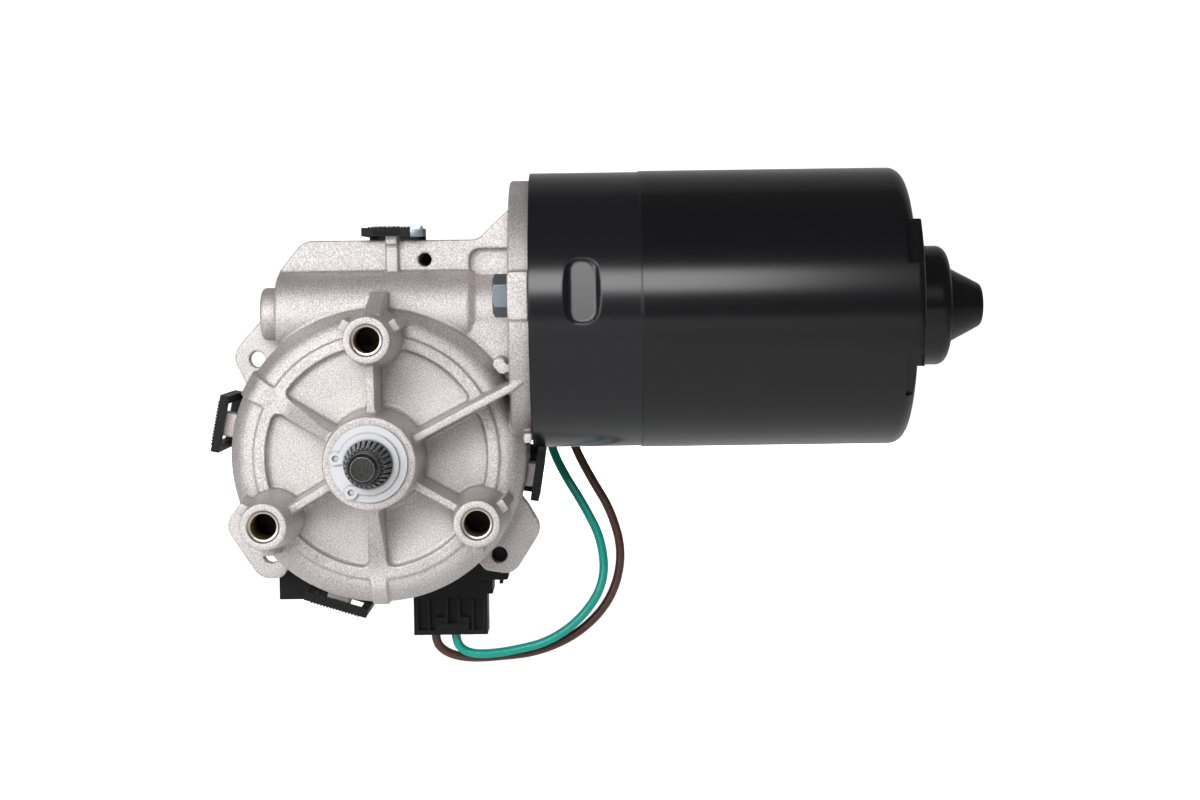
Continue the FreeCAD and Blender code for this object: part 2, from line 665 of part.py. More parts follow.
def armature_core():
    """Laminated stack with a winding slot between each pair of poles."""
    stack = tube_x(ROTOR_RADIUS, ROTOR_SHAFT, *STACK)
    mouth = placed(box(*STACK, -1, 1, SLOT_ROOF - 1, ROTOR_RADIUS + 1))
    slot = merged([slot_bar(*STACK, 0), mouth])
    return less(stack, [swing(slot, 360 * i / SLOTS) for i in range(SLOTS)])


def slot_bar(x0, x1, spare):
    """Bar as large as a winding slot, less a spare gap all round."""
    half = SLOT_WIDTH / 2 - spare
    return placed(box(x0, x1, -half, half, SLOT_FLOOR + spare, SLOT_ROOF - spare))


def armature_windings():
    """Copper in the slots, joined by the end turns."""
    first, last = STACK
    bar = slot_bar(first - 2, last + 2, COIL_GAP)
    bars = [swing(bar, 360 * i / SLOTS) for i in range(SLOTS)]
    front = turned_x([(first - 5, 14), (first - 5, 22, 2), (first - APART, 25.5), (first - APART, 10),
                      (first - 3, 10)])
    back = turned_x([(last + APART, 8), (last + APART, 25.5), (last + 7, 22, 2), (last + 7, 8)])
    return merged(bars + [front, back])


def commutator():
    """Copper segments on a moulded core."""
    body = tube_x(COMMUTATOR_RADIUS, ROTOR_SHAFT, *COMMUTATOR)
    notch = placed(box(*COMMUTATOR, -0.3, 0.3, COMMUTATOR_RADIUS - 1.2, COMMUTATOR_RADIUS + 1))
    return less(body, [swing(notch, 360 * (i + 0.5) / SLOTS) for i in range(SLOTS)])


# Bearings and thrust parts
def worm_bush():
    return tube_x(WORM_BORE, JOURNAL + RUNNING, SCREW_TIP + 1, -WORM_LENGTH / 2 - 3)


def thrust_ball():
    return Part.makeSphere(BALL_RADIUS, WORM_LINE + vec(SCREW_TIP + BALL_RADIUS, 0, 0))


def thrust_screw():
    """Grub screw that sets the end play of the armature."""
    body = rod_x(STUD_RADIUS, END_BOSS + 0.3, SCREW_TIP)
    hexagon = Part.Face(Part.makePolygon([
        WORM_LINE + vec(END_BOSS, *polar(2.3, 60 * i)) for i in range(7)
    ]))
    return body.cut(hexagon.extrude(vec(3, 0, 0)))


def bearing_race(outer, inner):
    groove_x = BEARING_START + BEARING_WIDTH / 2
    middle = (BEARING_RADIUS + ROTOR_SHAFT) / 2
    ring = tube_x(outer, inner, BEARING_START, BEARING_START + BEARING_WIDTH)
    groove = Part.makeTorus(middle, BEARING_BALL_RADIUS + 0.05, WORM_LINE + vec(groove_x, 0, 0), ALONG_X)
    return ring.cut(groove)


def bearing_balls():
    middle = (BEARING_RADIUS + ROTOR_SHAFT) / 2
    balls = []
    for i in range(BEARING_BALLS):
        y, z = polar(middle, 360 * i / BEARING_BALLS)
        centre = WORM_LINE + vec(BEARING_START + BEARING_WIDTH / 2, y, z)
        balls.append(Part.makeSphere(BEARING_BALL_RADIUS, centre))
    return Part.makeCompound(balls)


def bearing_clip():
    """Ring that keeps the bearing in its seat."""
    start = BEARING_START + BEARING_WIDTH
    ring = tube_x(BEARING_RADIUS - 0.1, BEARING_RADIUS - 1.8, start, start + 1.0)
    return ring.cut(placed(box(start, start + 1.0, -3, 3, -BEARING_RADIUS - 1, 3 - BEARING_RADIUS)))


def rear_bush():
    return tube_x(REAR_BUSH_RADIUS, ROTOR_SHAFT + RUNNING, NOSE_END - 7.5, NOSE_END + 2.5)


def bush_clip():
    """Spring plate that holds the rear bush in the nose."""
    start = NOSE_END - 2.5 - 1.0
    ring = tube_x(NOSE_RADIUS - 2.2, REAR_BUSH_RADIUS + 0.1, start, start + 1.0)
    notch = placed(box(start, start + 1.0, -1.5, 1.5, REAR_BUSH_RADIUS + 3, NOSE_RADIUS))
    return less(ring, [swing(notch, 60 * i) for i in range(6)])


# Motor can and what it holds
def bolt_centres():
    places = []
    for angle in (180 - BOLT_ANGLE, 360 - BOLT_ANGLE):
        y, z = polar(BOLT_REACH, angle)
        places.append((GEAR_DEPTH + y, CENTRES + z))
    return places


def motor_can():
    """Deep-drawn can with a bearing nose, a raised band, bolt dents and notches at its rear edge."""
    seat = NOSE_END - 2.5
    floor = CAN_END - 2.5
    shell = turned_x([
        (CAN_MOUTH, FLANGE_RADIUS + APART), (CAN_MOUTH, CAN_NECK), (CAN_STEP, CAN_NECK),
        (CAN_STEP, CAN_RADIUS),
        (CAN_END, CAN_RADIUS, 4), (CAN_END, NOSE_RADIUS, 0.8), (NOSE_END, NOSE_RADIUS, 3),
        (NOSE_END, 10.6, 0.4),
        (NOSE_END + 1, 10.4, 1), (NOSE_END + 6.4, 7.6, 2), (DOME_END, 5.6, 2), (DOME_END, 0),
        (DOME_END - 3, 0),
        (DOME_END - 3, 5.4), (NOSE_END + 3.4, REAR_BUSH_RADIUS), (seat, REAR_BUSH_RADIUS),
        (seat, NOSE_RADIUS - 2),
        (floor, NOSE_RADIUS - 2), (floor, CAN_BORE, 2), (CAN_SHOULDER, CAN_BORE),
        (CAN_SHOULDER, FLANGE_RADIUS + APART),
    ])
    start = CAN_END - 4
    raised = CAN_END + CAN_BAND
    disc = turned_x([(start, NOSE_RADIUS - 1), (start, CAN_RADIUS), (raised, CAN_RADIUS, 1.8),
                     (raised, NOSE_RADIUS - 1)])
    bridge = placed(box(start, raised, -CAN_RADIUS, CAN_RADIUS, -15.5, 23.5))
    notch = placed(box(CAN_MOUTH, CAN_MOUTH + GROMMET_LENGTH, -GROMMET_HALF, GROMMET_HALF, -CAN_RADIUS - 1,
                       1 - CAN_BORE))
    slot = placed(box(CAN_END - 3, CAN_END + 1, -6.5, 6.5, CAN_RADIUS - 2.1, CAN_RADIUS + 1))
    cuts = [swing(notch, GROMMET_ANGLE)] + [swing(slot, angle) for angle in (-62, 62, 118, 242)]
    return less(merged([shell, disc.common(bridge)]), cuts + can_dents())


def can_dents():
    """Shallow dents by the nuts, with a flat floor, rounded corners and sloping sides."""
    across, along, depth = DENT
    middle = (NUT[0] + NUT[1]) / 2 + DENT_BEHIND_NUT

    def level(height):
        wider = height * DENT_SLOPE
        x, y, corner = across + wider, along + wider, DENT_ROUND + wider
        corners = [(middle - x, -y, corner), (middle + x, -y, corner), (middle + x, y, corner),
                   (middle - x, y, corner)]
        return outline(corners, lambda p: vec(p.x, p.y, CAN_NECK - depth + height)).OuterWire

    dent = Part.makeLoft([level(0), level(2.6)], True, True)
    foot = [edge for edge in dent.Edges if edge.BoundBox.ZMax < CAN_NECK - depth + 0.1]
    dent = placed(dent.makeFillet(2.0, foot))
    return [swing(dent, 90 - BOLT_ANGLE), swing(dent, -90 - BOLT_ANGLE)]


def can_bolts():
    bolts = []
    for y, z in bolt_centres():
        corner = BOLT_HEAD_FLATS / 2 / math.cos(math.radians(30))
        hexagon = Part.Face(Part.makePolygon([
            vec(FLANGE_FACE - BOLT_HEAD, y + a, z + b) for a,
            b in (polar(corner, 60 * i + 30) for i in range(7))
        ]))
        head = hexagon.extrude(vec(BOLT_HEAD, 0, 0))
        dome = Part.makeCone(BOLT_HEAD_FLATS / 2 - 0.2, corner + 0.9, 1.2,
                             vec(FLANGE_FACE - BOLT_HEAD, y, z), ALONG_X)
        rest = rod_x(corner + 1, FLANGE_FACE - BOLT_HEAD + 1.2, FLANGE_FACE, y=y, z=z)
        bolts.append(merged([head.common(dome.fuse(rest)),
                             rod_x(BOLT_RADIUS, FLANGE_FACE, BOLT_END, y=y, z=z)]))
    return Part.makeCompound(bolts)


def can_nuts():
    """Square nuts behind the dents of the can."""
    half = NUT_FLATS / 2
    nut = box(*NUT, BOLT_REACH - half, BOLT_REACH + half, -half, half)
    nut = placed(nut.cut(rod_x(BOLT_RADIUS + RUNNING, *NUT, y=BOLT_REACH, z=0)))
    return Part.makeCompound([swing(nut, 180 - BOLT_ANGLE), swing(nut, -BOLT_ANGLE)])


def magnet_sector(x0, x1, inner, outer, span):
    """Arc piece centred on the back of the can."""
    ring = tube_x(outer, inner, x0, x1)
    half = math.radians(span / 2)
    far = 60.0
    wedge = Part.Face(Part.makePolygon([
        WORM_LINE + vec(x0, 0, 0), WORM_LINE + vec(x0, far * math.cos(half), far * math.sin(half)),
        WORM_LINE + vec(x0, far * 2, 0), WORM_LINE + vec(x0, far * math.cos(half), -far * math.sin(half)),
        WORM_LINE + vec(x0, 0, 0),
    ])).extrude(vec(x1 - x0, 0, 0))
    return ring.common(wedge)


def field_magnets():
    magnet = magnet_sector(*MAGNET_ENDS, ROTOR_RADIUS + AIR_GAP, CAN_BORE - 0.1, MAGNET_SPAN)
    return Part.makeCompound([magnet, swing(magnet, 180)])


def magnet_springs():
    """Bent strips that push the magnets apart."""
    free = 180 - MAGNET_SPAN
    strip = magnet_sector(MAGNET_ENDS[0] + 4, MAGNET_ENDS[1] - 4, CAN_BORE - 1.3, CAN_BORE - 0.1, free - 0.4)
    return Part.makeCompound([swing(strip, 90), swing(strip, -90)])


def brush_plate():
    """Moulded plate with the two brush boxes."""
    plate_disc = tube_x(FLANGE_RADIUS, COMMUTATOR_RADIUS + 1.5, SPIGOT_END, CAN_SHOULDER)
    boxes = []
    holes = [rod_x(BOLT_RADIUS + APART, SPIGOT_END, CAN_SHOULDER, y=y, z=z) for y, z in bolt_centres()]
    half = BRUSH_WIDTH / 2 + 0.1
    end = BRUSH_START + BRUSH_HEIGHT + 0.1
    case = placed(box(CAN_SHOULDER - 1, end + BOX_WALL, -half - BOX_WALL, half + BOX_WALL,
                      COMMUTATOR_RADIUS + 2, SPRING_END + 1.2))
    room = placed(box(BRUSH_START - 0.1, end, -half, half, COMMUTATOR_RADIUS - 6, SPRING_END))
    for turn in (0, 180):
        boxes.append(swing(case, turn))
        holes.append(swing(room, turn))
    return less(merged([plate_disc] + boxes), holes)


def carbon_brushes():
    half = BRUSH_WIDTH / 2
    block = placed(box(BRUSH_START, BRUSH_START + BRUSH_HEIGHT, -half, half, COMMUTATOR_RADIUS - 3,
                       COMMUTATOR_RADIUS + BRUSH_LENGTH))
    block = block.cut(rod_x(COMMUTATOR_RADIUS + RUNNING, *COMMUTATOR))
    return Part.makeCompound([block, swing(block, 180)])


def brush_springs():
    """Pressure springs between the brushes and the ends of their boxes."""
    start = COMMUTATOR_RADIUS + BRUSH_LENGTH + SPRING_WIRE
    rise = SPRING_END - start - SPRING_WIRE
    helix = Part.makeHelix(rise / 3, rise, SPRING_RADIUS)
    ring = Part.makePolygon([vec(SPRING_RADIUS + a, 0, b) for a,
                             b in (polar(SPRING_WIRE, 60 * i) for i in range(7))])
    coil = Part.Wire(helix.Edges).makePipeShell([ring], True, True)
    coil.translate(vec(BRUSH_START + BRUSH_HEIGHT / 2, 0, start))
    coil = placed(coil)
    return Part.makeCompound([coil, swing(coil, 180)])


# Rear cover and electrical parts
def cover_outline(grow):
    return [(-27.4 - grow, 20), (-27.4 - grow, 50.6 + grow, 2), (-20.6 - grow, 58.6 + grow, 5),
            (27.4 + grow, 58.6 + grow, 3), (35.6 + grow, 64 + grow, 2), (35.6 + grow, 20)]


def flange_room():
    """Room that the cover and the seal leave round the flange."""
    return rod_x(FLANGE_RADIUS + APART, FLANGE_FACE - APART, SPIGOT_END)


def clip_loop(reach, half):
    """Snap loop along X: two legs and a ribbed bar in front of the catch."""
    outer = reach + CLIP_BAR
    bar_back = CLIP_FRONT + CLIP_BAR
    bar = box(reach, outer, CLIP_FRONT, bar_back, -half, half)
    legs = [box(reach, outer, CLIP_FRONT, COVER_BACK, z, z + CLIP_LEG) for z in (-half, half - CLIP_LEG)]
    foot = box(DRUM_RADIUS - 4, outer, COVER_FRONT, COVER_BACK, -half, half)
    count = int((2 * half - 3) / GRIP_PITCH)
    grips = [box(outer - 0.1, outer + GRIP_DEPTH, CLIP_FRONT, bar_back, z, z + GRIP_PITCH / 2)
             for z in (GRIP_PITCH * (i - count / 2 + 0.25) for i in range(count))]
    return merged([bar, foot] + legs + grips)


def top_clip():
    """Snap loop above the ledge."""
    inside = TOP_CLIP_Z - 4
    loop = clip_loop(TOP_CLIP_Z, TOP_CLIP_HALF).cut(box(0, inside, 0, 2 * PARTING, -TOP_CLIP_HALF,
                                                        TOP_CLIP_HALF))
    loop = aim(loop, 90)
    loop.translate(vec(TOP_CLIP_X, 0, 0))
    return loop


def harness_socket():
    """Shroud for the vehicle's plug, with a lip and two webs."""
    right = HARNESS_LEFT + HARNESS_WIDTH
    back = COVER_FRONT + HARNESS_THICKNESS
    shroud = box(HARNESS_LEFT, right, COVER_FRONT, back, HARNESS_BOTTOM, HARNESS_FLOOR + 3)
    lip = box(HARNESS_LEFT - 1.9, right + 1.9, COVER_FRONT, back, HARNESS_FLOOR - 3, HARNESS_FLOOR - 1)
    webs = [box(x, x + 1.5, COVER_BACK - 0.5, back - 4, HARNESS_FLOOR - 1, HARNESS_FLOOR + 7)
            for x in (HARNESS_LEFT + 5, right - 5.5)]
    return [shroud, lip] + webs


def ear_foot():
    """Foot of the cover that stands behind the right ear."""
    plan = [(22, -26), (22, -FOOT_REACH), (FOOT_RIGHT, -FOOT_REACH, 0.8), (FOOT_RIGHT, -24)]
    foot = plate(plan, COVER_FRONT, COVER_BACK)
    post = plate(plan, EAR_BACK + APART, COVER_BACK).cut(rod_y(DRUM_RADIUS + APART, 0, COVER_BACK))
    return [foot, post, box(31.5, 32.5, COVER_FRONT - 2, COVER_BACK, -FOOT_REACH - 1.7, 0.5 - FOOT_REACH)]


def rear_cover():
    """Plastic cover with its clips, outside ribs and the two connector shrouds."""
    base = merged([rod_y(DRUM_RADIUS, COVER_FRONT, COVER_BACK),
                   plate(cover_outline(0), COVER_FRONT, COVER_BACK)])
    base = base.cut(flange_room())
    clips = [aim(clip_loop(reach, half), angle) for angle, reach, half in CLIPS]
    root = COVER_BACK - 0.5
    raised = COVER_BACK + RIB_HEIGHT
    rings = [tube_y(13, 11, root, raised), tube_y(30, 28.4, root, raised)]
    rib = box(12, 29.2, root, raised - 0.5, -0.8, 0.8)
    spokes = [aim(rib, 22.5 + 45 * i) for i in range(8)]
    lid = rod_y(12, root, raised - 1.5)
    channel = plate([(-22, 38, 3), (-22, 54, 3), (26, 54, 3), (26, 38, 3)], root, raised - 0.5)
    channel = channel.cut(plate([(-20, 40, 2), (-20, 52, 2), (24, 52, 2), (24, 40, 2)], COVER_BACK + 1,
                                raised))
    plug_back = PLUG_FRONT + PLUG_THICKNESS
    socket = box(PLUG_LEFT - 0.6, PLUG_LEFT + PLUG_WIDTH + 1.7, COVER_FRONT, plug_back + 1.5,
                 PLUG_TOP + SLIP,
                 PLUG_TOP + TONGUE + 4)
    solid = merged([base, lid, channel, socket,
                    top_clip()] + harness_socket() + clips + rings + spokes + ear_foot())
    inset = TONGUE_INSET - 0.1
    tongue_room = box(PLUG_LEFT + inset, PLUG_LEFT + PLUG_WIDTH - inset, PLUG_FRONT + 1, plug_back - 1,
                      PLUG_TOP - 1, PLUG_TOP + TONGUE + SLIP)
    mouth = box(HARNESS_LEFT + SOCKET_WALL, HARNESS_LEFT + HARNESS_WIDTH - SOCKET_WALL,
                COVER_FRONT + SOCKET_WALL,
                COVER_FRONT + HARNESS_THICKNESS - SOCKET_WALL, HARNESS_BOTTOM - 1, HARNESS_FLOOR)
    return less(solid, [tongue_room, mouth])


def cover_seal():
    """Flat gasket between the housing and the cover."""
    sheet = merged([rod_y(DRUM_RADIUS - 0.5, PARTING, COVER_FRONT),
                    plate(cover_outline(-0.5), PARTING, COVER_FRONT)])
    return less(sheet, [rod_y(CHAMBER_RADIUS + 0.6, PARTING, COVER_FRONT), flange_room()])


def park_contacts():
    """Three spring blades from the cover to the park disc."""
    tip = GEAR_BACK + PARK_DISC + APART
    seat = COVER_FRONT - 0.5
    strip = outline([(8, tip, 0.4), (10, tip + 0.4), (20, seat), (28, seat), (28, COVER_FRONT),
                     (19.6, COVER_FRONT),
                     (9.6, tip + 1.2), (7.4, tip + 0.8)], lambda p: vec(p.x, p.y, 0))
    blades = []
    for i in range(3):
        piece = strip.extrude(vec(0, 0, 3))
        piece.translate(vec(0, 0, -13.5 - 4.4 * i))
        blades.append(piece)
    return Part.makeCompound(blades)


def terminal_blades():
    """Blades in the harness socket and in the plug socket."""
    middle = COVER_FRONT + HARNESS_THICKNESS / 2
    pitch = (HARNESS_WIDTH - 2 * SOCKET_WALL) / 4
    half = BLADE / 2
    blades = []
    for i in range(3):
        x = HARNESS_LEFT + SOCKET_WALL + pitch * (i + 1)
        blades.append(box(x - 1.6, x + 1.6, middle - half, middle + half, HARNESS_FLOOR - 8, HARNESS_FLOOR))
    for x in WIRE_EXITS:
        blades.append(plug_blade(x, 0))
    return Part.makeCompound(blades)


def plug_blade(x, room):
    """Blade above one wire, or with room the slot for it."""
    middle = PLUG_FRONT + PLUG_THICKNESS / 2
    across = BLADE_WIDTH / 2 + room
    half = BLADE / 2 + room
    return box(x - across, x + across, middle - half, middle + half, PLUG_TOP - BLADE_DEPTH - room,
               PLUG_TOP + TONGUE + SLIP)


def wire_plug():
    """Two-way plug with a ribbed front, a latch and a tongue inside the socket."""
    right = PLUG_LEFT + PLUG_WIDTH
    back = PLUG_FRONT + PLUG_THICKNESS
    body = box(PLUG_LEFT, right, PLUG_FRONT, back, PLUG_BOTTOM, PLUG_TOP)
    tongue = box(PLUG_LEFT + TONGUE_INSET, right - TONGUE_INSET, PLUG_FRONT + 1.1, back - 1.1,
                 PLUG_TOP - 0.5,
                 PLUG_TOP + TONGUE)
    slots = [plug_blade(x, 0.1) for x in WIRE_EXITS]
    edges = ((1.4, 4.1), (4.7, 16.8), (17.5, 19.8))
    recesses = [box(PLUG_LEFT + a, PLUG_LEFT + b, PLUG_FRONT - 1, PLUG_FRONT + 1.6, PLUG_BOTTOM + 1.4,
                    PLUG_TOP - 1.2)
                for a, b in edges]
    latch = [box(PLUG_LEFT + a, PLUG_LEFT + b, face, PLUG_FRONT + 2, PLUG_BOTTOM + c, PLUG_BOTTOM + d)
             for a, b, face, c, d in LATCH]
    return merged([less(merged([body, tongue]), slots + recesses)] + latch)


def wire_grommet():
    """Rubber block in the mouth of the can."""
    start = CAN_MOUTH + 0.1
    half = GROMMET_HALF - 0.1
    plug = box(start, CAN_MOUTH + GROMMET_LENGTH - 0.1, -half, half, -GROMMET_FACE + 1, -FLANGE_RADIUS - 0.1)
    lip = box(start, CAN_MOUTH + GROMMET_LENGTH + 1.2, -half - 1.4, half + 1.4, -GROMMET_FACE,
              -CAN_RADIUS - 0.1)
    return swing(placed(merged([plug, lip])), GROMMET_ANGLE)


GREEN_WIRE = [
    (45.4, 67.2, 9.8), (45.4, 71.2, 5.8), (46.8, 70.6, -2.6), (50.6, 68.9, -10.4), (56.0, 67.3, -18.9),
    (61.3, 66.2, -29.5), (62.0, 65.1, -41.8), (55.4, 63.9, -52.0), (45.3, 62.8, -59.0), (34.0, 61.6, -61.3),
    (26.4, 60.4, -61.9), (21.9, 60.1, -61.4), (19.3, 60.0, -59.8), (18.1, 60.0, -57.3), (18.1, 60.0, -55.0),
]
BROWN_WIRE = [
    (51.0, 67.2, 9.8), (51.0, 71.4, 5.6), (54.0, 71.4, -3.2), (58.6, 70.9, -12.0), (64.0, 70.3, -20.9),
    (67.5, 70.3, -33.8), (64.3, 69.8, -47.1), (55.1, 68.6, -57.0), (42.6, 66.9, -62.6), (29.5, 65.2, -63.6),
    (22.0, 63.4, -63.5), (16.8, 61.8, -62.2), (13.6, 60.6, -60.0), (12.2, 60.0, -57.4), (12.2, 60.0, -55.0),
]


def wire(points, name):
    """Round wire along straight runs joined by tangent arcs."""
    path = [vec(*p) for p in points]
    edges = []
    start = path[0]
    radii = []
    for i in range(1, len(path) - 1):
        back = path[i - 1] - path[i]
        ahead = path[i + 1] - path[i]
        reach = 0.45 * min(back.Length, ahead.Length)
        half_turn = (math.pi - back.getAngle(ahead)) / 2
        radius = reach / math.tan(half_turn)
        radii.append(round(radius, 1))
        back.normalize()
        ahead.normalize()
        lift = radius / math.cos(half_turn) - radius
        first = path[i] + back * reach
        last = path[i] + ahead * reach
        middle = path[i] + (back + ahead).normalize() * lift
        edges.append(Part.LineSegment(start, first).toShape())
        edges.append(Part.Arc(first, middle, last).toShape())
        start = last
    edges.append(Part.LineSegment(start, path[-1]).toShape())
    run = Part.Wire(edges)
    ring = Part.Circle(path[0], path[1] - path[0], WIRE_RADIUS)
    tube = run.makePipeShell([Part.Wire(ring.toShape())], True, False)
    share = tube.Volume / (math.pi * WIRE_RADIUS ** 2 * run.Length)
    print(name, "radii", radii, "length", round(run.Length, 1), "volume share", round(share, 4))
    return tube


# Named parts
def parts():
    return {
        "gear_housing": gear_housing(),
        "output_bush": output_bush(),
        "output_shaft": output_shaft(),
        "circlip": circlip(),
        "thrust_washer": thrust_washer(),
        "shim_washer": shim_washer(),
        "drive_gear": drive_gear(),
        "park_disc": park_disc(),
        "armature_shaft": armature_shaft(),
        "armature_core": armature_core(),
        "armature_windings": armature_windings(),
        "commutator": commutator(),
        "worm_bush": worm_bush(),
        "thrust_ball": thrust_ball(),
        "thrust_screw": thrust_screw(),
        "bearing_outer": bearing_race(BEARING_RADIUS, 9.0),
        "bearing_inner": bearing_race(6.0, ROTOR_SHAFT),
        "bearing_balls": bearing_balls(),
        "bearing_clip": bearing_clip(),
        "rear_bush": rear_bush(),
        "bush_clip": bush_clip(),
        "motor_can": motor_can(),
        "can_bolts": can_bolts(),
        "can_nuts": can_nuts(),
        "field_magnets": field_magnets(),
        "magnet_springs": magnet_springs(),
        "brush_plate": brush_plate(),
        "carbon_brushes": carbon_brushes(),
        "brush_springs": brush_springs(),
        "rear_cover": rear_cover(),
        "cover_seal": cover_seal(),
        "park_contacts": park_contacts(),
        "terminal_blades": terminal_blades(),
        "wire_plug": wire_plug(),
        "wire_grommet": wire_grommet(),
        "wire_green": wire(GREEN_WIRE, "green"),
        "wire_brown": wire(BROWN_WIRE, "brown"),
    }


os.makedirs("parts", exist_ok=True)
for name, shape in parts().items():
    shape.exportStep("parts/" + name + ".step")
    print(name, "solids", len(shape.Solids), "valid", shape.isValid(), "volume", round(shape.Volume, 1))
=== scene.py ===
# %% [markdown]
# The motor was built as solids first, and packed into a frame that says where
# each part is and which body it moves with. This lesson dresses that frame: it
# loads the parts, adds camera, light and materials, and replaces the few parts
# whose real surface a plain solid doesn't show.

# %% Load the frame
import math

import bpy
from mathutils import Matrix, Vector


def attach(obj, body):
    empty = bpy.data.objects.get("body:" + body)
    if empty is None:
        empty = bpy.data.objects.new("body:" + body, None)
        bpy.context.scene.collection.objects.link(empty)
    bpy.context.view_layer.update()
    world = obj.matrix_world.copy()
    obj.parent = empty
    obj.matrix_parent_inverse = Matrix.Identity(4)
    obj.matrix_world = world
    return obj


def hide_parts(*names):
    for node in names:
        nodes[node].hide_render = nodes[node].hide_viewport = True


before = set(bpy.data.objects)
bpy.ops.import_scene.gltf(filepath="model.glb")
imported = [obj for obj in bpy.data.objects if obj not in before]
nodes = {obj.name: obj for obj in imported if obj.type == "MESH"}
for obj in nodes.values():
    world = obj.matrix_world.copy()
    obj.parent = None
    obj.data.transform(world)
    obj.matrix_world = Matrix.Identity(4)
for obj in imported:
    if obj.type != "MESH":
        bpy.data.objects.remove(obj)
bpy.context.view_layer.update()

MM = 0.001
MOTOR_MIDDLE = Vector((60, 30, 20)) * MM
print("CAD pieces:", len(nodes))

# %% [markdown]
# The motor is photographed from the front, a little above its middle, by a
# camera about half a metre away. A long lens keeps the round housing round.
# The camera could be placed by eye, but here its distance and tilt were found
# from sizes that are known on the object, so the render lies over the photo.

# %% Camera
CAMERA_PLACE = Vector((58.8, -540, 48.7)) * MM
CAMERA_AIM = Vector((61.0, 0, 16.0)) * MM
CAMERA_ROLL = math.radians(-0.8)
CAMERA_LENS = 61.9


def aimed(place, target):
    """Turn that points an object's own minus Z from one place to another."""
    return (target - place).to_track_quat("-Z", "Y")


def add_camera():
    """Camera that sees what the photograph shows."""
    camera = bpy.data.objects.new("camera", bpy.data.cameras.new("camera"))
    bpy.context.scene.collection.objects.link(camera)
    turn = aimed(CAMERA_PLACE, CAMERA_AIM).to_matrix().to_4x4()
    roll = Matrix.Rotation(CAMERA_ROLL, 4, "Z")
    camera.matrix_world = Matrix.Translation(CAMERA_PLACE) @ turn @ roll
    camera.data.lens = CAMERA_LENS
    camera.data.clip_start = 0.01
    bpy.context.scene.camera = camera


add_camera()
print("camera", [round(c, 3) for c in CAMERA_PLACE])

# %% [markdown]
# Two insulated wires run in an open loop from a rubber grommet under the can
# to a plug below the housing. A wire like this is one smooth curve, so a NURBS
# line with a round bevel is the natural tool: a few control points give the
# bend, and the bevel gives the thickness. The bevel is one metre deep and each
# point's radius scales it down, because the curve's box is made from the radii.

# %% Wires
WIRE_RADIUS = 1.3
GREEN_WIRE = [
    (45.4, 67.2, 9.8), (45.4, 71.2, 5.8), (46.8, 70.6, -2.6), (50.6, 68.9, -10.4),
    (56.0, 67.3, -18.9), (61.3, 66.2, -29.5), (62.0, 65.1, -41.8), (55.4, 63.9, -52.0),
    (45.3, 62.8, -59.0), (34.0, 61.6, -61.3), (26.4, 60.4, -61.9), (21.9, 60.1, -61.4),
    (19.3, 60.0, -59.8), (18.1, 60.0, -57.3), (18.1, 60.0, -55.0),
]
BROWN_WIRE = [
    (51.0, 67.2, 9.8), (51.0, 71.4, 5.6), (54.0, 71.4, -3.2), (58.6, 70.9, -12.0),
    (64.0, 70.3, -20.9), (67.5, 70.3, -33.8), (64.3, 69.8, -47.1), (55.1, 68.6, -57.0),
    (42.6, 66.9, -62.6), (29.5, 65.2, -63.6), (22.0, 63.4, -63.5), (16.8, 61.8, -62.2),
    (13.6, 60.6, -60.0), (12.2, 60.0, -57.4), (12.2, 60.0, -55.0),
]


def add_wire(name, points, node):
    """Round wire along control points, standing for its CAD solid."""
    curve = bpy.data.curves.new(name, "CURVE")
    curve.dimensions = "3D"
    curve.bevel_depth = 1.0
    curve.bevel_resolution = 8
    curve.resolution_u = 16
    curve.use_fill_caps = True
    line = curve.splines.new("NURBS")
    line.points.add(len(points) - 1)
    for control, place in zip(line.points, points):
        control.co = (*(Vector(place) * MM), 1)
        control.radius = WIRE_RADIUS * MM
    line.order_u = 3
    line.use_endpoint_u = True
    piece = bpy.data.objects.new(name, curve)
    bpy.context.scene.collection.objects.link(piece)
    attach(piece, "motor")
    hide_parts(node)
    return piece


green_wire = add_wire("green_lead", GREEN_WIRE, "wire_green")
brown_wire = add_wire("brown_lead", BROWN_WIRE, "wire_brown")
print("wires", green_wire.name, brown_wire.name)

# %% [markdown]
# Every material here is built from nodes, and most of those nodes are sums on
# numbers that change over a surface. They could be added one by one, but a
# helper that takes sockets or plain numbers keeps each sum on one line.

# %% Maths between sockets


def add_math(tree, operation, first, second=None, third=None, clamp=False):
    """Math node whose inputs are sockets or numbers; gives its output."""
    node = tree.nodes.new("ShaderNodeMath")
    node.operation = operation
    node.use_clamp = clamp
    for place, value in enumerate((first, second, third)):
        if isinstance(value, bpy.types.NodeSocket):
            tree.links.new(value, node.inputs[place])
        elif value is not None:
            node.inputs[place].default_value = value
    return node.outputs[0]


print("maths helper ready")

# %% [markdown]
# The motor lies on a white table in front of a white wall. The white could come
# from strong lamps, but they would burn out the casting, so floor and wall glow
# for the camera instead. A black can mirrors its surroundings: its glossy rays
# see a greyer wall and only the near part of the table, which keeps its upper
# half black and its lower half charcoal.

# %% Floor and wall
FLOOR_LEVEL = -0.0705
WALL_DEPTH = 1.6
STAGE_SIZE = 8.0
STAGE_COLOUR = (0.9, 0.9, 0.9)
TABLE_SHADE = 0.16
SHADE_REACH = 0.3
TABLE_NEAR = 0.17
TABLE_FAR = 0.32
FLOOR_MIRRORED = 0.29
WALL_MIRRORED = 0.2


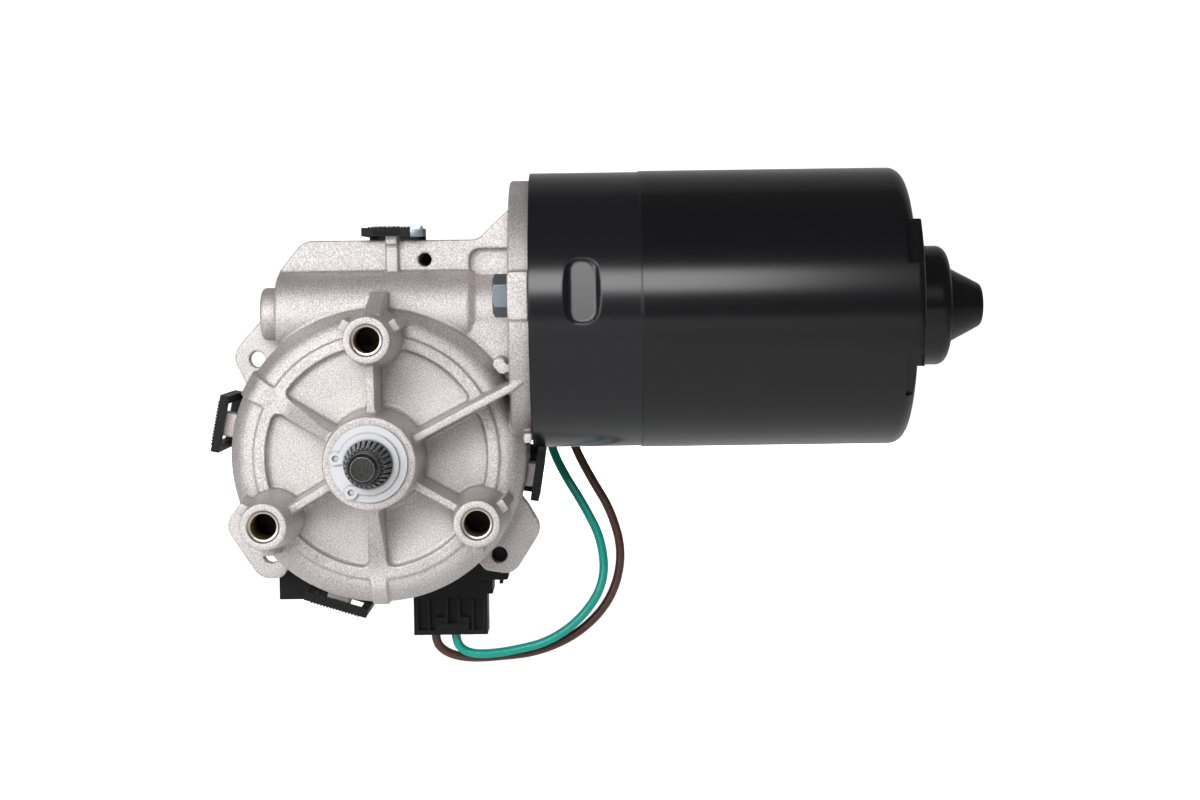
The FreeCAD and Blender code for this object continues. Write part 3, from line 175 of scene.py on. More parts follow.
def bright_surface(name, mirrored, table=False):
    """White paint that glows for camera and transmission rays, and less for glossy rays.

    A table glows a little less round the motor, a painted shade, and fades out of reflections with
    distance.
    """
    material = bpy.data.materials.new(name)
    material.use_nodes = True
    tree = material.node_tree
    shader = tree.nodes["Principled BSDF"]
    shader.inputs["Base Color"].default_value = (*STAGE_COLOUR, 1)
    shader.inputs["Roughness"].default_value = 0.9
    shader.inputs["Emission Color"].default_value = (1, 1, 1, 1)
    path = tree.nodes.new("ShaderNodeLightPath").outputs
    seen = add_math(tree, "MAXIMUM", path["Is Camera Ray"], path["Is Transmission Ray"])
    glossy = add_math(tree, "MULTIPLY", path["Is Glossy Ray"], mirrored)
    if table:
        span = tree.nodes.new("ShaderNodeVectorMath")
        span.operation = "DISTANCE"
        span.inputs[1].default_value = (MOTOR_MIDDLE.x, MOTOR_MIDDLE.y, 0)
        # Painted shade: the table's glow is lowered within a reach of the motor.
        far = tree.nodes.new("ShaderNodeMapRange")
        far.inputs["From Min"].default_value = SHADE_REACH
        far.inputs["To Min"].default_value = 1 - TABLE_SHADE
        place = tree.nodes.new("ShaderNodeTexCoord").outputs["Object"]
        tree.links.new(place, span.inputs[0])
        tree.links.new(span.outputs["Value"], far.inputs["Value"])
        seen = add_math(tree, "MULTIPLY", seen, far.outputs["Result"])
        fade = tree.nodes.new("ShaderNodeMapRange")
        fade.interpolation_type = "SMOOTHSTEP"
        fade.inputs["From Min"].default_value = TABLE_NEAR
        fade.inputs["From Max"].default_value = TABLE_FAR
        fade.inputs["To Min"].default_value = 1
        fade.inputs["To Max"].default_value = 0
        tree.links.new(span.outputs["Value"], fade.inputs["Value"])
        glossy = add_math(tree, "MULTIPLY", glossy, fade.outputs["Result"])
    tree.links.new(add_math(tree, "MAXIMUM", seen, glossy), shader.inputs["Emission Strength"])
    return material


def add_stage():
    """Floor below the motor and wall behind it."""
    bpy.ops.object.select_all(action="DESELECT")
    bpy.ops.mesh.primitive_plane_add(size=STAGE_SIZE, location=(0, 0, FLOOR_LEVEL))
    floor = bpy.context.object
    floor.name = "floor"
    floor.data.materials.append(bright_surface("floor_white", FLOOR_MIRRORED, table=True))
    bpy.ops.mesh.primitive_plane_add(size=STAGE_SIZE, location=(0, WALL_DEPTH, 0),
                                     rotation=(math.pi / 2, 0, 0))
    wall = bpy.context.object
    wall.name = "wall"
    wall.data.materials.append(bright_surface("wall_white", WALL_MIRRORED))


add_stage()
print("floor at", FLOOR_LEVEL)

# %% [markdown]
# The light is that of a product table: a wide soft box in front and a little
# above, which draws one long highlight along the can, and weak fill from the
# left. The back lamp is for views from behind. It stays out of reflections,
# because the can's top would show it as a bright line. The world is white for
# the camera, dim in reflections and almost dark as a light.

# %% Lamps and world
WORLD_MIRRORED = 0.12
WORLD_FILL = 0.02


def add_lamp(name, place, size, power, stretch=1.0):
    """Soft rectangular lamp that points at the middle of the motor."""
    lamp = bpy.data.lights.new(name, "AREA")
    lamp.shape = "RECTANGLE"
    lamp.size = size
    lamp.size_y = size * stretch
    lamp.energy = power
    holder = bpy.data.objects.new(name, lamp)
    bpy.context.scene.collection.objects.link(holder)
    holder.location = place
    holder.rotation_mode = "QUATERNION"
    holder.rotation_quaternion = aimed(Vector(place), MOTOR_MIDDLE)
    return holder


def add_world():
    """White for the camera, dim in reflections and almost dark as a light."""
    world = bpy.data.worlds.new("studio")
    world.use_nodes = True
    tree = world.node_tree
    back = tree.nodes["Background"]
    back.inputs["Color"].default_value = (1, 1, 1, 1)
    path = tree.nodes.new("ShaderNodeLightPath").outputs
    seen = add_math(tree, "MAXIMUM", path["Is Camera Ray"], path["Is Transmission Ray"])
    glossy = add_math(tree, "MULTIPLY", path["Is Glossy Ray"], WORLD_MIRRORED)
    shown = add_math(tree, "MAXIMUM", seen, glossy)
    tree.links.new(add_math(tree, "MAXIMUM", shown, WORLD_FILL), back.inputs["Strength"])
    bpy.context.scene.world = world


add_lamp("key_lamp", (-0.10, -0.90, 0.46), 0.62, 5.6, 0.5)
add_lamp("side_lamp", (-0.56, -0.68, 0.22), 0.32, 3.2)
add_lamp("low_lamp", (-0.28, -0.80, 0.06), 0.30, 0.42, 0.3)
back_lamp = add_lamp("back_lamp", (0.10, 0.95, 0.20), 0.6, 5.0)
back_lamp.visible_glossy = False
add_world()
bpy.context.scene.view_settings.view_transform = "Standard"
print("lamps", len(bpy.data.lights))

# %% [markdown]
# Several finishes share the same effects, so each effect is built once, as a
# node group whose strengths are named inputs. These helpers make an empty
# group, a noise texture and a mix of two colours.

# %% Group, noise and mix helpers


def new_group(name, inputs, outputs):
    """Node group with (name, kind, value) inputs and (name, kind) outputs."""
    group = bpy.data.node_groups.new(name, "ShaderNodeTree")
    for title, kind, value in inputs:
        socket = group.interface.new_socket(title, in_out="INPUT", socket_type=kind)
        socket.default_value = value
    for title, kind in outputs:
        group.interface.new_socket(title, in_out="OUTPUT", socket_type=kind)
    entry = group.nodes.new("NodeGroupInput")
    leave = group.nodes.new("NodeGroupOutput")
    return group, entry, leave


def add_noise(tree, coordinates, scale, detail, rough):
    """Noise texture; gives its value output."""
    node = tree.nodes.new("ShaderNodeTexNoise")
    node.inputs["Detail"].default_value = detail
    node.inputs["Roughness"].default_value = rough
    tree.links.new(scale, node.inputs["Scale"])
    tree.links.new(coordinates, node.inputs["Vector"])
    return node.outputs["Fac"]


def add_mix(tree, share, first, second):
    """Colour mix; gives its output. Colours are sockets or triples."""
    node = tree.nodes.new("ShaderNodeMix")
    node.data_type = "RGBA"
    factor, colour_a, colour_b = (node.inputs[place] for place in (0, 6, 7))
    for socket, value in ((factor, share), (colour_a, first), (colour_b, second)):
        if isinstance(value, bpy.types.NodeSocket):
            tree.links.new(value, socket)
        elif isinstance(value, tuple):
            socket.default_value = (*value, 1)
        else:
            socket.default_value = value
    return node.outputs[2]


print("group helpers ready")

# %% [markdown]
# Grain is the fine speckle of a blasted casting or a moulded surface. An image
# could hold it, but noise in object space needs no unwrapping and has the right
# size in millimetres. One fine noise gives speckle and height, and a coarse one
# gives clouds of tone.

# %% Grain


def grain_group():
    """Speckle of a blasted or moulded surface."""
    group, entry, leave = new_group(
        "grain",
        [("Size", "NodeSocketFloat", 0.5), ("Cloud Size", "NodeSocketFloat", 12.0),
         ("Contrast", "NodeSocketFloat", 2.0)],
        [("Speckle", "NodeSocketFloat"), ("Cloud", "NodeSocketFloat"),
         ("Height", "NodeSocketFloat")],
    )
    place = group.nodes.new("ShaderNodeTexCoord").outputs["Object"]
    fine_scale = add_math(group, "DIVIDE", 1 / MM, entry.outputs["Size"])
    cloud_scale = add_math(group, "DIVIDE", 1 / MM, entry.outputs["Cloud Size"])
    fine = add_noise(group, place, fine_scale, 3.0, 0.65)
    cloud = add_noise(group, place, cloud_scale, 3.0, 0.55)
    centred = add_math(group, "SUBTRACT", fine, 0.5)
    speckle = add_math(group, "MULTIPLY_ADD", centred, entry.outputs["Contrast"], 0.5,
                       clamp=True)
    group.links.new(speckle, leave.inputs["Speckle"])
    group.links.new(cloud, leave.inputs["Cloud"])
    group.links.new(fine, leave.inputs["Height"])
    return group


GRAIN = grain_group()
print("effect", GRAIN.name)

# %% [markdown]
# Painted shade darkens corners and creases, which ambient occlusion finds.
# Edges get the opposite, a painted highlight, and are never quite sharp. The
# Bevel node bends the normal there, and where it departs from the true normal
# there is an edge, so one node gives both the soft edge and the mask for the painted highlight.

# %% Painted crease shade and edge highlight


def crease_shade_group():
    """Mask of corners and creases, where shade is painted."""
    group, entry, leave = new_group(
        "crease_shade",
        [("Reach", "NodeSocketFloat", 3.0), ("Amount", "NodeSocketFloat", 0.5)],
        [("Mask", "NodeSocketFloat")],
    )
    shade = group.nodes.new("ShaderNodeAmbientOcclusion")
    shade.samples = 6
    reach = add_math(group, "MULTIPLY", entry.outputs["Reach"], MM)
    group.links.new(reach, shade.inputs["Distance"])
    closed = add_math(group, "SUBTRACT", 1.0, shade.outputs["AO"])
    mask = add_math(group, "MULTIPLY", closed, entry.outputs["Amount"], clamp=True)
    group.links.new(mask, leave.inputs["Mask"])
    return group


def edge_group():
    """Rounded normal at sharp edges, and a mask of the edges for a painted highlight."""
    group, entry, leave = new_group(
        "soft_edge",
        [("Radius", "NodeSocketFloat", 0.3), ("Wear", "NodeSocketFloat", 1.0)],
        [("Normal", "NodeSocketVector"), ("Mask", "NodeSocketFloat")],
    )
    bevel = group.nodes.new("ShaderNodeBevel")
    bevel.samples = 4
    radius = add_math(group, "MULTIPLY", entry.outputs["Radius"], MM)
    group.links.new(radius, bevel.inputs["Radius"])
    plain = group.nodes.new("ShaderNodeNewGeometry").outputs["Normal"]
    meet = group.nodes.new("ShaderNodeVectorMath")
    meet.operation = "DOT_PRODUCT"
    group.links.new(bevel.outputs["Normal"], meet.inputs[0])
    group.links.new(plain, meet.inputs[1])
    turned = add_math(group, "SUBTRACT", 1.0, meet.outputs["Value"])
    mask = add_math(group, "MULTIPLY", turned, entry.outputs["Wear"], clamp=True)
    group.links.new(bevel.outputs["Normal"], leave.inputs["Normal"])
    group.links.new(mask, leave.inputs["Mask"])
    return group


CREASE_SHADE = crease_shade_group()
EDGE = edge_group()
print("effects", CREASE_SHADE.name, EDGE.name)

# %% [markdown]
# A finish is a base colour with small, slow changes: clouds of tone over
# centimetres, speckle over tenths of a millimetre, painted shade in creases and a
# painted highlight on edges. One helper builds that, and each material only says its values.
# The Principled shader itself stays in each material.

# %% Finish helper
CLOUD_DEPTH = 0.6
BUMP_DEPTH = 0.2


def place_group(tree, group, **values):
    """Puts a node group in a material with its own values; gives its outputs."""
    node = tree.nodes.new("ShaderNodeGroup")
    node.node_tree = group
    for title, value in values.items():
        node.inputs[title.replace("_", " ")].default_value = value
    return node.outputs


def finish(name, light, dark, rough, metallic=0.0, grain=0.5, contrast=2.0, cloud=12.0,
           bump=0.1, edge=0.3, edge_glint_tint=None, edge_glint=2.0, crease_shade=0.35, crease_shade_tint=(0.1, 0.09, 0.08),
           reach=3.0, **plain):
    """Material whose colour runs from dark to light with its grain.

    Sizes are in millimetres. What plain holds goes to the shader's own sockets.
    """
    material = bpy.data.materials.new(name)
    material.use_nodes = True
    tree = material.node_tree
    shader = tree.nodes["Principled BSDF"]
    grains = place_group(tree, GRAIN, Size=grain, Cloud_Size=cloud, Contrast=contrast)
    shaded_creases = place_group(tree, CREASE_SHADE, Reach=reach, Amount=crease_shade)
    edges = place_group(tree, EDGE, Radius=edge, Wear=edge_glint)
    clouded = add_math(tree, "MULTIPLY_ADD", grains["Cloud"], CLOUD_DEPTH, -CLOUD_DEPTH / 2)
    share = add_math(tree, "ADD", grains["Speckle"], clouded, clamp=True)
    colour = add_mix(tree, share, dark, light)
    # Painted highlight: edges found by the Bevel node are lightened.
    if edge_glint_tint:
        colour = add_mix(tree, edges["Mask"], colour, edge_glint_tint)
    # Painted shade: creases found by ambient occlusion are darkened.
    colour = add_mix(tree, shaded_creases["Mask"], colour, crease_shade_tint)
    tree.links.new(colour, shader.inputs["Base Color"])
    low, high = rough
    spread = tree.nodes.new("ShaderNodeMapRange")
    spread.inputs["To Min"].default_value = low
    spread.inputs["To Max"].default_value = high
    tree.links.new(grains["Cloud"], spread.inputs["Value"])
    tree.links.new(spread.outputs["Result"], shader.inputs["Roughness"])
    shader.inputs["Metallic"].default_value = metallic
    for title, value in plain.items():
        shader.inputs[title.replace("_", " ")].default_value = value
    lift = tree.nodes.new("ShaderNodeBump")
    lift.inputs["Strength"].default_value = bump
    lift.inputs["Distance"].default_value = BUMP_DEPTH * MM
    tree.links.new(grains["Height"], lift.inputs["Height"])
    tree.links.new(edges["Normal"], lift.inputs["Normal"])
    tree.links.new(lift.outputs["Normal"], shader.inputs["Normal"])
    return material


def dress(material, *names):
    """Gives CAD nodes this material alone."""
    for name in names:
        nodes[name].data.materials.clear()
        nodes[name].data.materials.append(material)


print("finish helper ready")

# %% [markdown]
# The housing is a die casting, blasted with fine grit: warm light grey, with
# grains that glint. Around it are bought-in metals: phosphated steel that is
# nearly black, pale zinc plate, dull sintered bronze, copper and brass. All are
# metallic, so it is their roughness, grain and painted edge highlights that tell
# them apart. Their creases get painted shade.

# %% Metals
cast = finish("cast_aluminium", (0.81, 0.768, 0.755), (0.45, 0.422, 0.410), (0.38, 0.52),
              metallic=0.62, grain=0.36, contrast=4.8, cloud=14, bump=0.95, edge=0.25,
              edge_glint_tint=(0.95, 0.93, 0.91), edge_glint=1.0, crease_shade=0.7, crease_shade_tint=(0.14, 0.12, 0.105))
bronze = finish("sintered_bronze", (0.55, 0.40, 0.24), (0.40, 0.28, 0.16), (0.35, 0.5),
                metallic=0.9, grain=0.2)
dark_steel = finish("phosphated_steel", (0.075, 0.073, 0.072), (0.02, 0.02, 0.02), (0.32, 0.5),
                    metallic=0.75, grain=0.35, contrast=3.0, bump=0.3, edge=0.2,
                    edge_glint_tint=(0.85, 0.84, 0.83), edge_glint=7.0, crease_shade=0.8, crease_shade_tint=(0.01, 0.01, 0.01))
zinc = finish("zinc_plate", (0.62, 0.63, 0.65), (0.50, 0.51, 0.53), (0.34, 0.46), metallic=0.85,
              grain=0.3, bump=0.12, edge=0.2, edge_glint_tint=(0.80, 0.81, 0.83))
clip_steel = finish("circlip_steel", (0.72, 0.725, 0.75), (0.58, 0.585, 0.61), (0.38, 0.48),
                    metallic=0.8, grain=0.3, contrast=1.2, bump=0.1, edge=0.12,
                    edge_glint_tint=(0.84, 0.85, 0.87), crease_shade=1.0, crease_shade_tint=(0.10, 0.10, 0.11), reach=0.7)
bolt_steel = finish("bolt_zinc", (0.30, 0.34, 0.375), (0.22, 0.25, 0.28), (0.26, 0.36),
                    metallic=0.95, grain=0.35, bump=0.1, edge=0.25, edge_glint_tint=(0.85, 0.88, 0.9),
                    edge_glint=3.0)
bright_steel = finish("ground_steel", (0.70, 0.70, 0.71), (0.55, 0.55, 0.56), (0.2, 0.34),
                      metallic=1.0, grain=0.2, bump=0.05, edge=0.15)
brass = finish("pressed_brass", (0.82, 0.64, 0.30), (0.70, 0.52, 0.22), (0.25, 0.4), metallic=1.0,
               grain=0.4)
stack = finish("laminated_steel", (0.30, 0.30, 0.32), (0.20, 0.20, 0.22), (0.4, 0.55), metallic=0.7,
               grain=0.4)
copper = finish("enamelled_copper", (0.60, 0.27, 0.12), (0.45, 0.18, 0.08), (0.25, 0.4),
                metallic=0.9, grain=0.6)
spring_steel = finish("spring_steel", (0.44, 0.44, 0.46), (0.36, 0.36, 0.38), (0.25, 0.4),
                      metallic=1.0, grain=0.3)
dress(bronze, "output_bush", "worm_bush", "rear_bush")
dress(dark_steel, "output_shaft")
dress(zinc, "shim_washer", "thrust_screw", "can_nuts")
dress(clip_steel, "circlip", "thrust_washer")
dress(bolt_steel, "can_bolts")
dress(bright_steel, "armature_shaft", "thrust_ball", "bearing_outer", "bearing_inner",
      "bearing_balls")
dress(brass, "park_disc", "park_contacts", "terminal_blades")
dress(stack, "armature_core")
dress(copper, "armature_windings", "commutator")
dress(spring_steel, "magnet_springs", "bearing_clip", "bush_clip", "brush_springs")
print("metals", len(bpy.data.materials))

# %% [markdown]
# Moulded and pressed parts have their colour in the body, so Metallic stays at
# zero. Black nylon is the hardest of them: its base is nearly black and its
# specular level low, so that only edges and grips catch the light. Its edges also
# get a painted highlight, and its creases painted shade.

# %% Plastics, ceramics and rubber
acetal = finish("moulded_acetal", (0.86, 0.83, 0.74), (0.80, 0.77, 0.68), (0.35, 0.45), grain=0.8,
                bump=0.04)
ferrite = finish("sintered_ferrite", (0.10, 0.10, 0.11), (0.07, 0.07, 0.075), (0.6, 0.75),
                 grain=0.5)
phenolic = finish("brown_phenolic", (0.22, 0.11, 0.06), (0.16, 0.08, 0.04), (0.4, 0.55), grain=0.7)
carbon = finish("pressed_carbon", (0.07, 0.07, 0.075), (0.045, 0.045, 0.05), (0.6, 0.75), grain=0.3)
nylon = finish("black_nylon", (0.009, 0.009, 0.010), (0.004, 0.004, 0.005), (0.36, 0.5), grain=0.5,
               bump=0.15, edge=0.25, edge_glint_tint=(0.08, 0.08, 0.085), edge_glint=1.2, crease_shade=0.3,
               crease_shade_tint=(0.002, 0.002, 0.002), Specular_IOR_Level=0.22)
rubber = finish("black_rubber", (0.03, 0.03, 0.032), (0.018, 0.018, 0.02), (0.55, 0.7), grain=0.6,
                bump=0.1)
dress(acetal, "drive_gear")
dress(ferrite, "field_magnets")
dress(phenolic, "brush_plate")
dress(carbon, "carbon_brushes")
dress(nylon, "rear_cover", "wire_plug")
dress(rubber, "cover_seal", "wire_grommet")
print("with plastics", len(bpy.data.materials))

# %% [markdown]
# A wire's insulation is soft plastic that is a little glossy. A thin coat on
# the Principled shader gives the narrow highlight that runs along the wire.

# %% Wire insulation
green = finish("green_insulation", (0.0, 0.46, 0.36), (0.0, 0.36, 0.28), (0.3, 0.4), grain=0.9,
               bump=0.03, crease_shade=0.1, Coat_Weight=0.2)
brown = finish("brown_insulation", (0.10, 0.035, 0.022), (0.07, 0.024, 0.015), (0.3, 0.4),
               grain=0.9, bump=0.03, crease_shade=0.1, Coat_Weight=0.2)
green_wire.data.materials.append(green)
brown_wire.data.materials.append(brown)
print("with wires", len(bpy.data.materials))

# %% [markdown]
# A die casting has no sharp inside corners: metal flows round a fillet at the
# foot of every boss and rib. Those fillets could be cut one by one with bevels,
# but on a shape with this many crossings they would break. A voxel remesh
# turns the whole solid into one even skin, and smoothing that skin then rounds
# each corner by the same millimetre, as a foundry does.

# %% Skin of a solid
VOXEL = 0.35
TOUCHING = 1e-6


def pick(piece):
    """Makes one object selected and active."""
    bpy.ops.object.select_all(action="DESELECT")
    piece.select_set(True)
    bpy.context.view_layer.objects.active = piece


def finish_modifiers(piece):
    """Applies a piece's modifiers in their order."""
    pick(piece)
    for modifier in list(piece.modifiers):
        bpy.ops.object.modifier_apply(modifier=modifier.name)


def skin_of(node, name):
    """Even closed skin over a CAD node's shape."""
    piece = bpy.data.objects.new(name, nodes[node].data.copy())
    bpy.context.scene.collection.objects.link(piece)
    pick(piece)
    bpy.ops.object.mode_set(mode="EDIT")
    bpy.ops.mesh.select_all(action="SELECT")
    bpy.ops.mesh.remove_doubles(threshold=TOUCHING)
    bpy.ops.object.mode_set(mode="OBJECT")
    remesh = piece.modifiers.new("skin", "REMESH")
    remesh.mode = "VOXEL"
    remesh.voxel_size = VOXEL * MM
    finish_modifiers(piece)
    return piece


casting = skin_of("gear_housing", "housing_casting")
print("skin faces", len(casting.data.polygons))

# %% [markdown]
# Two light smoothing passes round the skin's corners. A Decimate modifier then
# takes back the many small faces on flat ground. The three bosses get room for
# threaded sleeves and crisp machined faces, which are pieces of their own.

# %% Cast housing
SMOOTH_SHARE = 0.5
SMOOTH_PASSES = 2
CASTING_TRIANGLES = 180000
BOSS_ANGLES = (90, 210, 330)
BOSS_DISTANCE = 32.5
TAP_PLACES = [(BOSS_DISTANCE * math.cos(math.radians(angle)),
               BOSS_DISTANCE * math.sin(math.radians(angle))) for angle in BOSS_ANGLES]
TAP_DEPTH = 17.0
SLEEVE_RADIUS = 4.9
LAND_RADIUS = 7.25
LAND_SINK = 0.45


def open_taps(piece):
    """Makes room in the bosses for their threaded sleeves and machined faces."""
    for vertex in piece.data.vertices:
        x, y, z = (c / MM for c in vertex.co)
        for tap_x, tap_z in TAP_PLACES:
            away = math.hypot(x - tap_x, z - tap_z)
            if away < SLEEVE_RADIUS and y < TAP_DEPTH + 1:
                grow = SLEEVE_RADIUS / max(away, 0.1)
                vertex.co.x = (tap_x + (x - tap_x) * grow) * MM
                vertex.co.z = (tap_z + (z - tap_z) * grow) * MM
            if away < LAND_RADIUS and y < LAND_SINK:
                vertex.co.y = LAND_SINK * MM


soften = casting.modifiers.new("fillets", "SMOOTH")
soften.factor = SMOOTH_SHARE
soften.iterations = SMOOTH_PASSES
finish_modifiers(casting)
open_taps(casting)
thin = casting.modifiers.new("thin", "DECIMATE")
thin.ratio = min(1.0, CASTING_TRIANGLES / (2 * len(casting.data.polygons)))
finish_modifiers(casting)
bpy.ops.object.shade_smooth()
casting.data.materials.clear()
casting.data.materials.append(cast)
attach(casting, "motor")
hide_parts("gear_housing")
print("casting faces", len(casting.data.polygons))

# %% [markdown]
# The boss faces lie in one plane, and their holes are countersunk. A lathe or a
# cutter makes such a form by turning, and so does this helper: a circle is
# extruded and scaled from radius to radius, first along the blasted face and
# then down the countersink.

# %% Turned rings
RING_SIDES = 96


def orient(piece, wanted):
    """Turns a sheet so that most of its area faces what wanted(face centre) says."""
    pick(piece)
    bpy.ops.object.mode_set(mode="EDIT")
    bpy.ops.mesh.select_all(action="SELECT")
    bpy.ops.mesh.normals_make_consistent(inside=False)
    bpy.ops.object.mode_set(mode="OBJECT")
    faces = piece.data.polygons
    towards = sum(face.area * face.normal.dot(wanted(face.center)) for face in faces)
    if towards < 0:
        bpy.ops.object.mode_set(mode="EDIT")
        bpy.ops.mesh.select_all(action="SELECT")
        bpy.ops.mesh.flip_normals()
        bpy.ops.object.mode_set(mode="OBJECT")
    return piece


def turned_ring(name, centre, profile):
    """Sheet through (radius, depth) rings about an axis along Y; it faces the front."""
    bpy.ops.object.select_all(action="DESELECT")
    radius, depth = profile[0]
    x, z = centre
    bpy.ops.mesh.primitive_circle_add(
        vertices=RING_SIDES, radius=radius * MM, rotation=(math.pi / 2, 0, 0),
        location=(x * MM, depth * MM, z * MM))
    piece = bpy.context.object
    piece.name = piece.data.name = name
    bpy.ops.object.transform_apply(location=True, rotation=True, scale=True)
    bpy.ops.object.mode_set(mode="EDIT")
    bpy.ops.mesh.select_all(action="SELECT")
    for next_radius, next_depth in profile[1:]:
        step = (0, (next_depth - depth) * MM, 0)
        bpy.ops.mesh.extrude_edges_move(TRANSFORM_OT_translate={"value": step})
        scale = next_radius / radius
        bpy.ops.transform.resize(value=(scale, 1, scale),
                                 center_override=(x * MM, next_depth * MM, z * MM))
        radius, depth = next_radius, next_depth
    bpy.ops.mesh.select_all(action="SELECT")
    bpy.ops.mesh.remove_doubles(threshold=TOUCHING)
    bpy.ops.object.mode_set(mode="OBJECT")
    return orient(piece, lambda place: Vector((0, -1, 0)))


def joined(main, *others):
    """One object from several."""
    pick(main)
    for other in others:
        other.select_set(True)
    bpy.ops.object.join()
    return main


print("ring sides", RING_SIDES)

# %% [markdown]
# A tap cuts its thread by one tooth that goes round and down. The Screw
# modifier does the same with a zigzag of one pitch, so the turns join into one
# real helix. A stack of grooves would be simpler, but it would look wrong where
# the thread starts.

# %% Thread
THREAD_PITCH = 1.25
THREAD_ROOT = 4.0
THREAD_CREST = 3.45
THREAD_START = 0.62
THREAD_TURNS = 12
THREAD_STEPS = 32


def thread(name, centre):
    """Inside thread: one pitch of zigzag swept round an axis along Y."""
    bpy.ops.object.select_all(action="DESELECT")
    bpy.ops.mesh.primitive_circle_add(vertices=3, radius=MM)
    piece = bpy.context.object
    piece.name = piece.data.name = name
    bpy.ops.object.mode_set(mode="EDIT")
    bpy.ops.mesh.select_all(action="SELECT")
    bpy.ops.mesh.delete(type="EDGE_FACE")
    bpy.ops.object.mode_set(mode="OBJECT")
    tooth = [(THREAD_ROOT, 0), (THREAD_CREST, THREAD_PITCH / 2), (THREAD_ROOT, THREAD_PITCH)]
    for vertex, (radius, along) in zip(piece.data.vertices, tooth):
        vertex.co = (radius * MM, 0, along * MM)
    bpy.ops.object.mode_set(mode="EDIT")
    for first in (0, 1):
        bpy.ops.mesh.select_all(action="DESELECT")
        bpy.ops.object.mode_set(mode="OBJECT")
        piece.data.vertices[first].select = True
        piece.data.vertices[first + 1].select = True
        bpy.ops.object.mode_set(mode="EDIT")
        bpy.ops.mesh.edge_face_add()
    bpy.ops.object.mode_set(mode="OBJECT")
    screw = piece.modifiers.new("thread", "SCREW")
    screw.axis = "Z"
    screw.steps = screw.render_steps = THREAD_STEPS
    screw.screw_offset = THREAD_PITCH * MM
    screw.iterations = THREAD_TURNS
    screw.use_merge_vertices = True
    screw.merge_threshold = TOUCHING
    finish_modifiers(piece)
    piece.rotation_euler = (-math.pi / 2, 0, 0)
    x, z = centre
    piece.location = (x * MM, THREAD_START * MM, z * MM)
    bpy.ops.object.transform_apply(location=True, rotation=True, scale=True)
    return orient(piece, lambda place: Vector((x * MM - place.x, 0, z * MM - place.z)))


print("thread pitch", THREAD_PITCH)

# %% [markdown]
# A tap cuts clean metal, so the countersink and the thread get a milled finish
# of their own. Inside the hole the colour is painted light and shade: a brownish
# painted light near the mouth turns into painted shade with depth, which a Map
# Range node reads from the object's own Y. A black disc in the hole would show
# its edge from the side.

# %% Boss faces and threads
HOLE_PAINT_START = 1.2
DARK_START = 1.5
DARK_END = 15.0
HOLE_MOUTH_LIGHT = (0.42, 0.30, 0.16)
HOLE_SHADE = (0.02, 0.014, 0.008)
EDGE_ANGLE = math.radians(25)
milled = finish("milled_aluminium", (0.62, 0.60, 0.57), (0.48, 0.46, 0.43), (0.25, 0.38),
                metallic=0.9, grain=0.35, contrast=1.6, cloud=6, bump=0.12, edge=0.12)


def paint_hole_light_and_shade(material):
    """Paints light near the hole's mouth and shade deeper along Y."""
    tree = material.node_tree
    shader = tree.nodes["Principled BSDF"]
    place = tree.nodes.new("ShaderNodeTexCoord").outputs["Object"]
    parts = tree.nodes.new("ShaderNodeSeparateXYZ")
    tree.links.new(place, parts.inputs[0])
    fall = tree.nodes.new("ShaderNodeMapRange")
    fall.interpolation_type = "SMOOTHSTEP"
    fall.inputs["From Min"].default_value = DARK_START * MM
    fall.inputs["From Max"].default_value = DARK_END * MM
    tree.links.new(parts.outputs["Y"], fall.inputs["Value"])
    tint = shader.inputs["Base Color"].links[0].from_socket
    # Painted light near the mouth, painted shade deep in the hole.
    hole_light_and_shade = add_mix(tree, fall.outputs["Result"], HOLE_MOUTH_LIGHT, HOLE_SHADE)
    deep = add_math(tree, "GREATER_THAN", parts.outputs["Y"], HOLE_PAINT_START * MM)
    tree.links.new(add_mix(tree, deep, tint, hole_light_and_shade), shader.inputs["Base Color"])


paint_hole_light_and_shade(milled)
COUNTERSINK_RIM = (4.42, 0.05)
FACE = [(6.3, 1.3), (6.26, 0.45), (6.1, 0.12), (5.85, 0.02), (4.5, 0.02), COUNTERSINK_RIM]
COUNTERSINK = [COUNTERSINK_RIM, (4.36, 0.12), (3.95, THREAD_START), (3.5, 0.72)]
HOLE_END = [(THREAD_ROOT, TAP_DEPTH - 1.3), (THREAD_ROOT, TAP_DEPTH - 0.6),
            (0.0005, TAP_DEPTH - 0.2)]


def finish_piece(piece, material):
    """Smooth shading, material and place in the frame for a new piece."""
    pick(piece)
    bpy.ops.object.shade_smooth_by_angle(angle=EDGE_ANGLE)
    piece.data.materials.clear()
    piece.data.materials.append(material)
    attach(piece, "motor")


for number, place in enumerate(TAP_PLACES, 1):
    face = turned_ring(f"boss_face_{number}", place, FACE)
    finish_piece(face, cast)
    tap = joined(turned_ring(f"boss_thread_{number}", place, COUNTERSINK),
                 turned_ring("hole_end", place, HOLE_END), thread("tapped", place))
    finish_piece(tap, milled)
print("boss faces", len(TAP_PLACES))

# %% [markdown]
# Beside each boss stand two short gusset fins. Smoothing the skin wore their
# small front faces away. A finer voxel would keep them and slow the whole skin
# down, so each fin gets a crisp block of its own that follows the CAD fin.

# %% Gusset fins
FIN_ANGLE = 61
FIN_LOW = (5.6, 6.5, -1.6)
FIN_HIGH = (8.6, 10.5, 1.6)
FIN_ROUNDING = 0.2


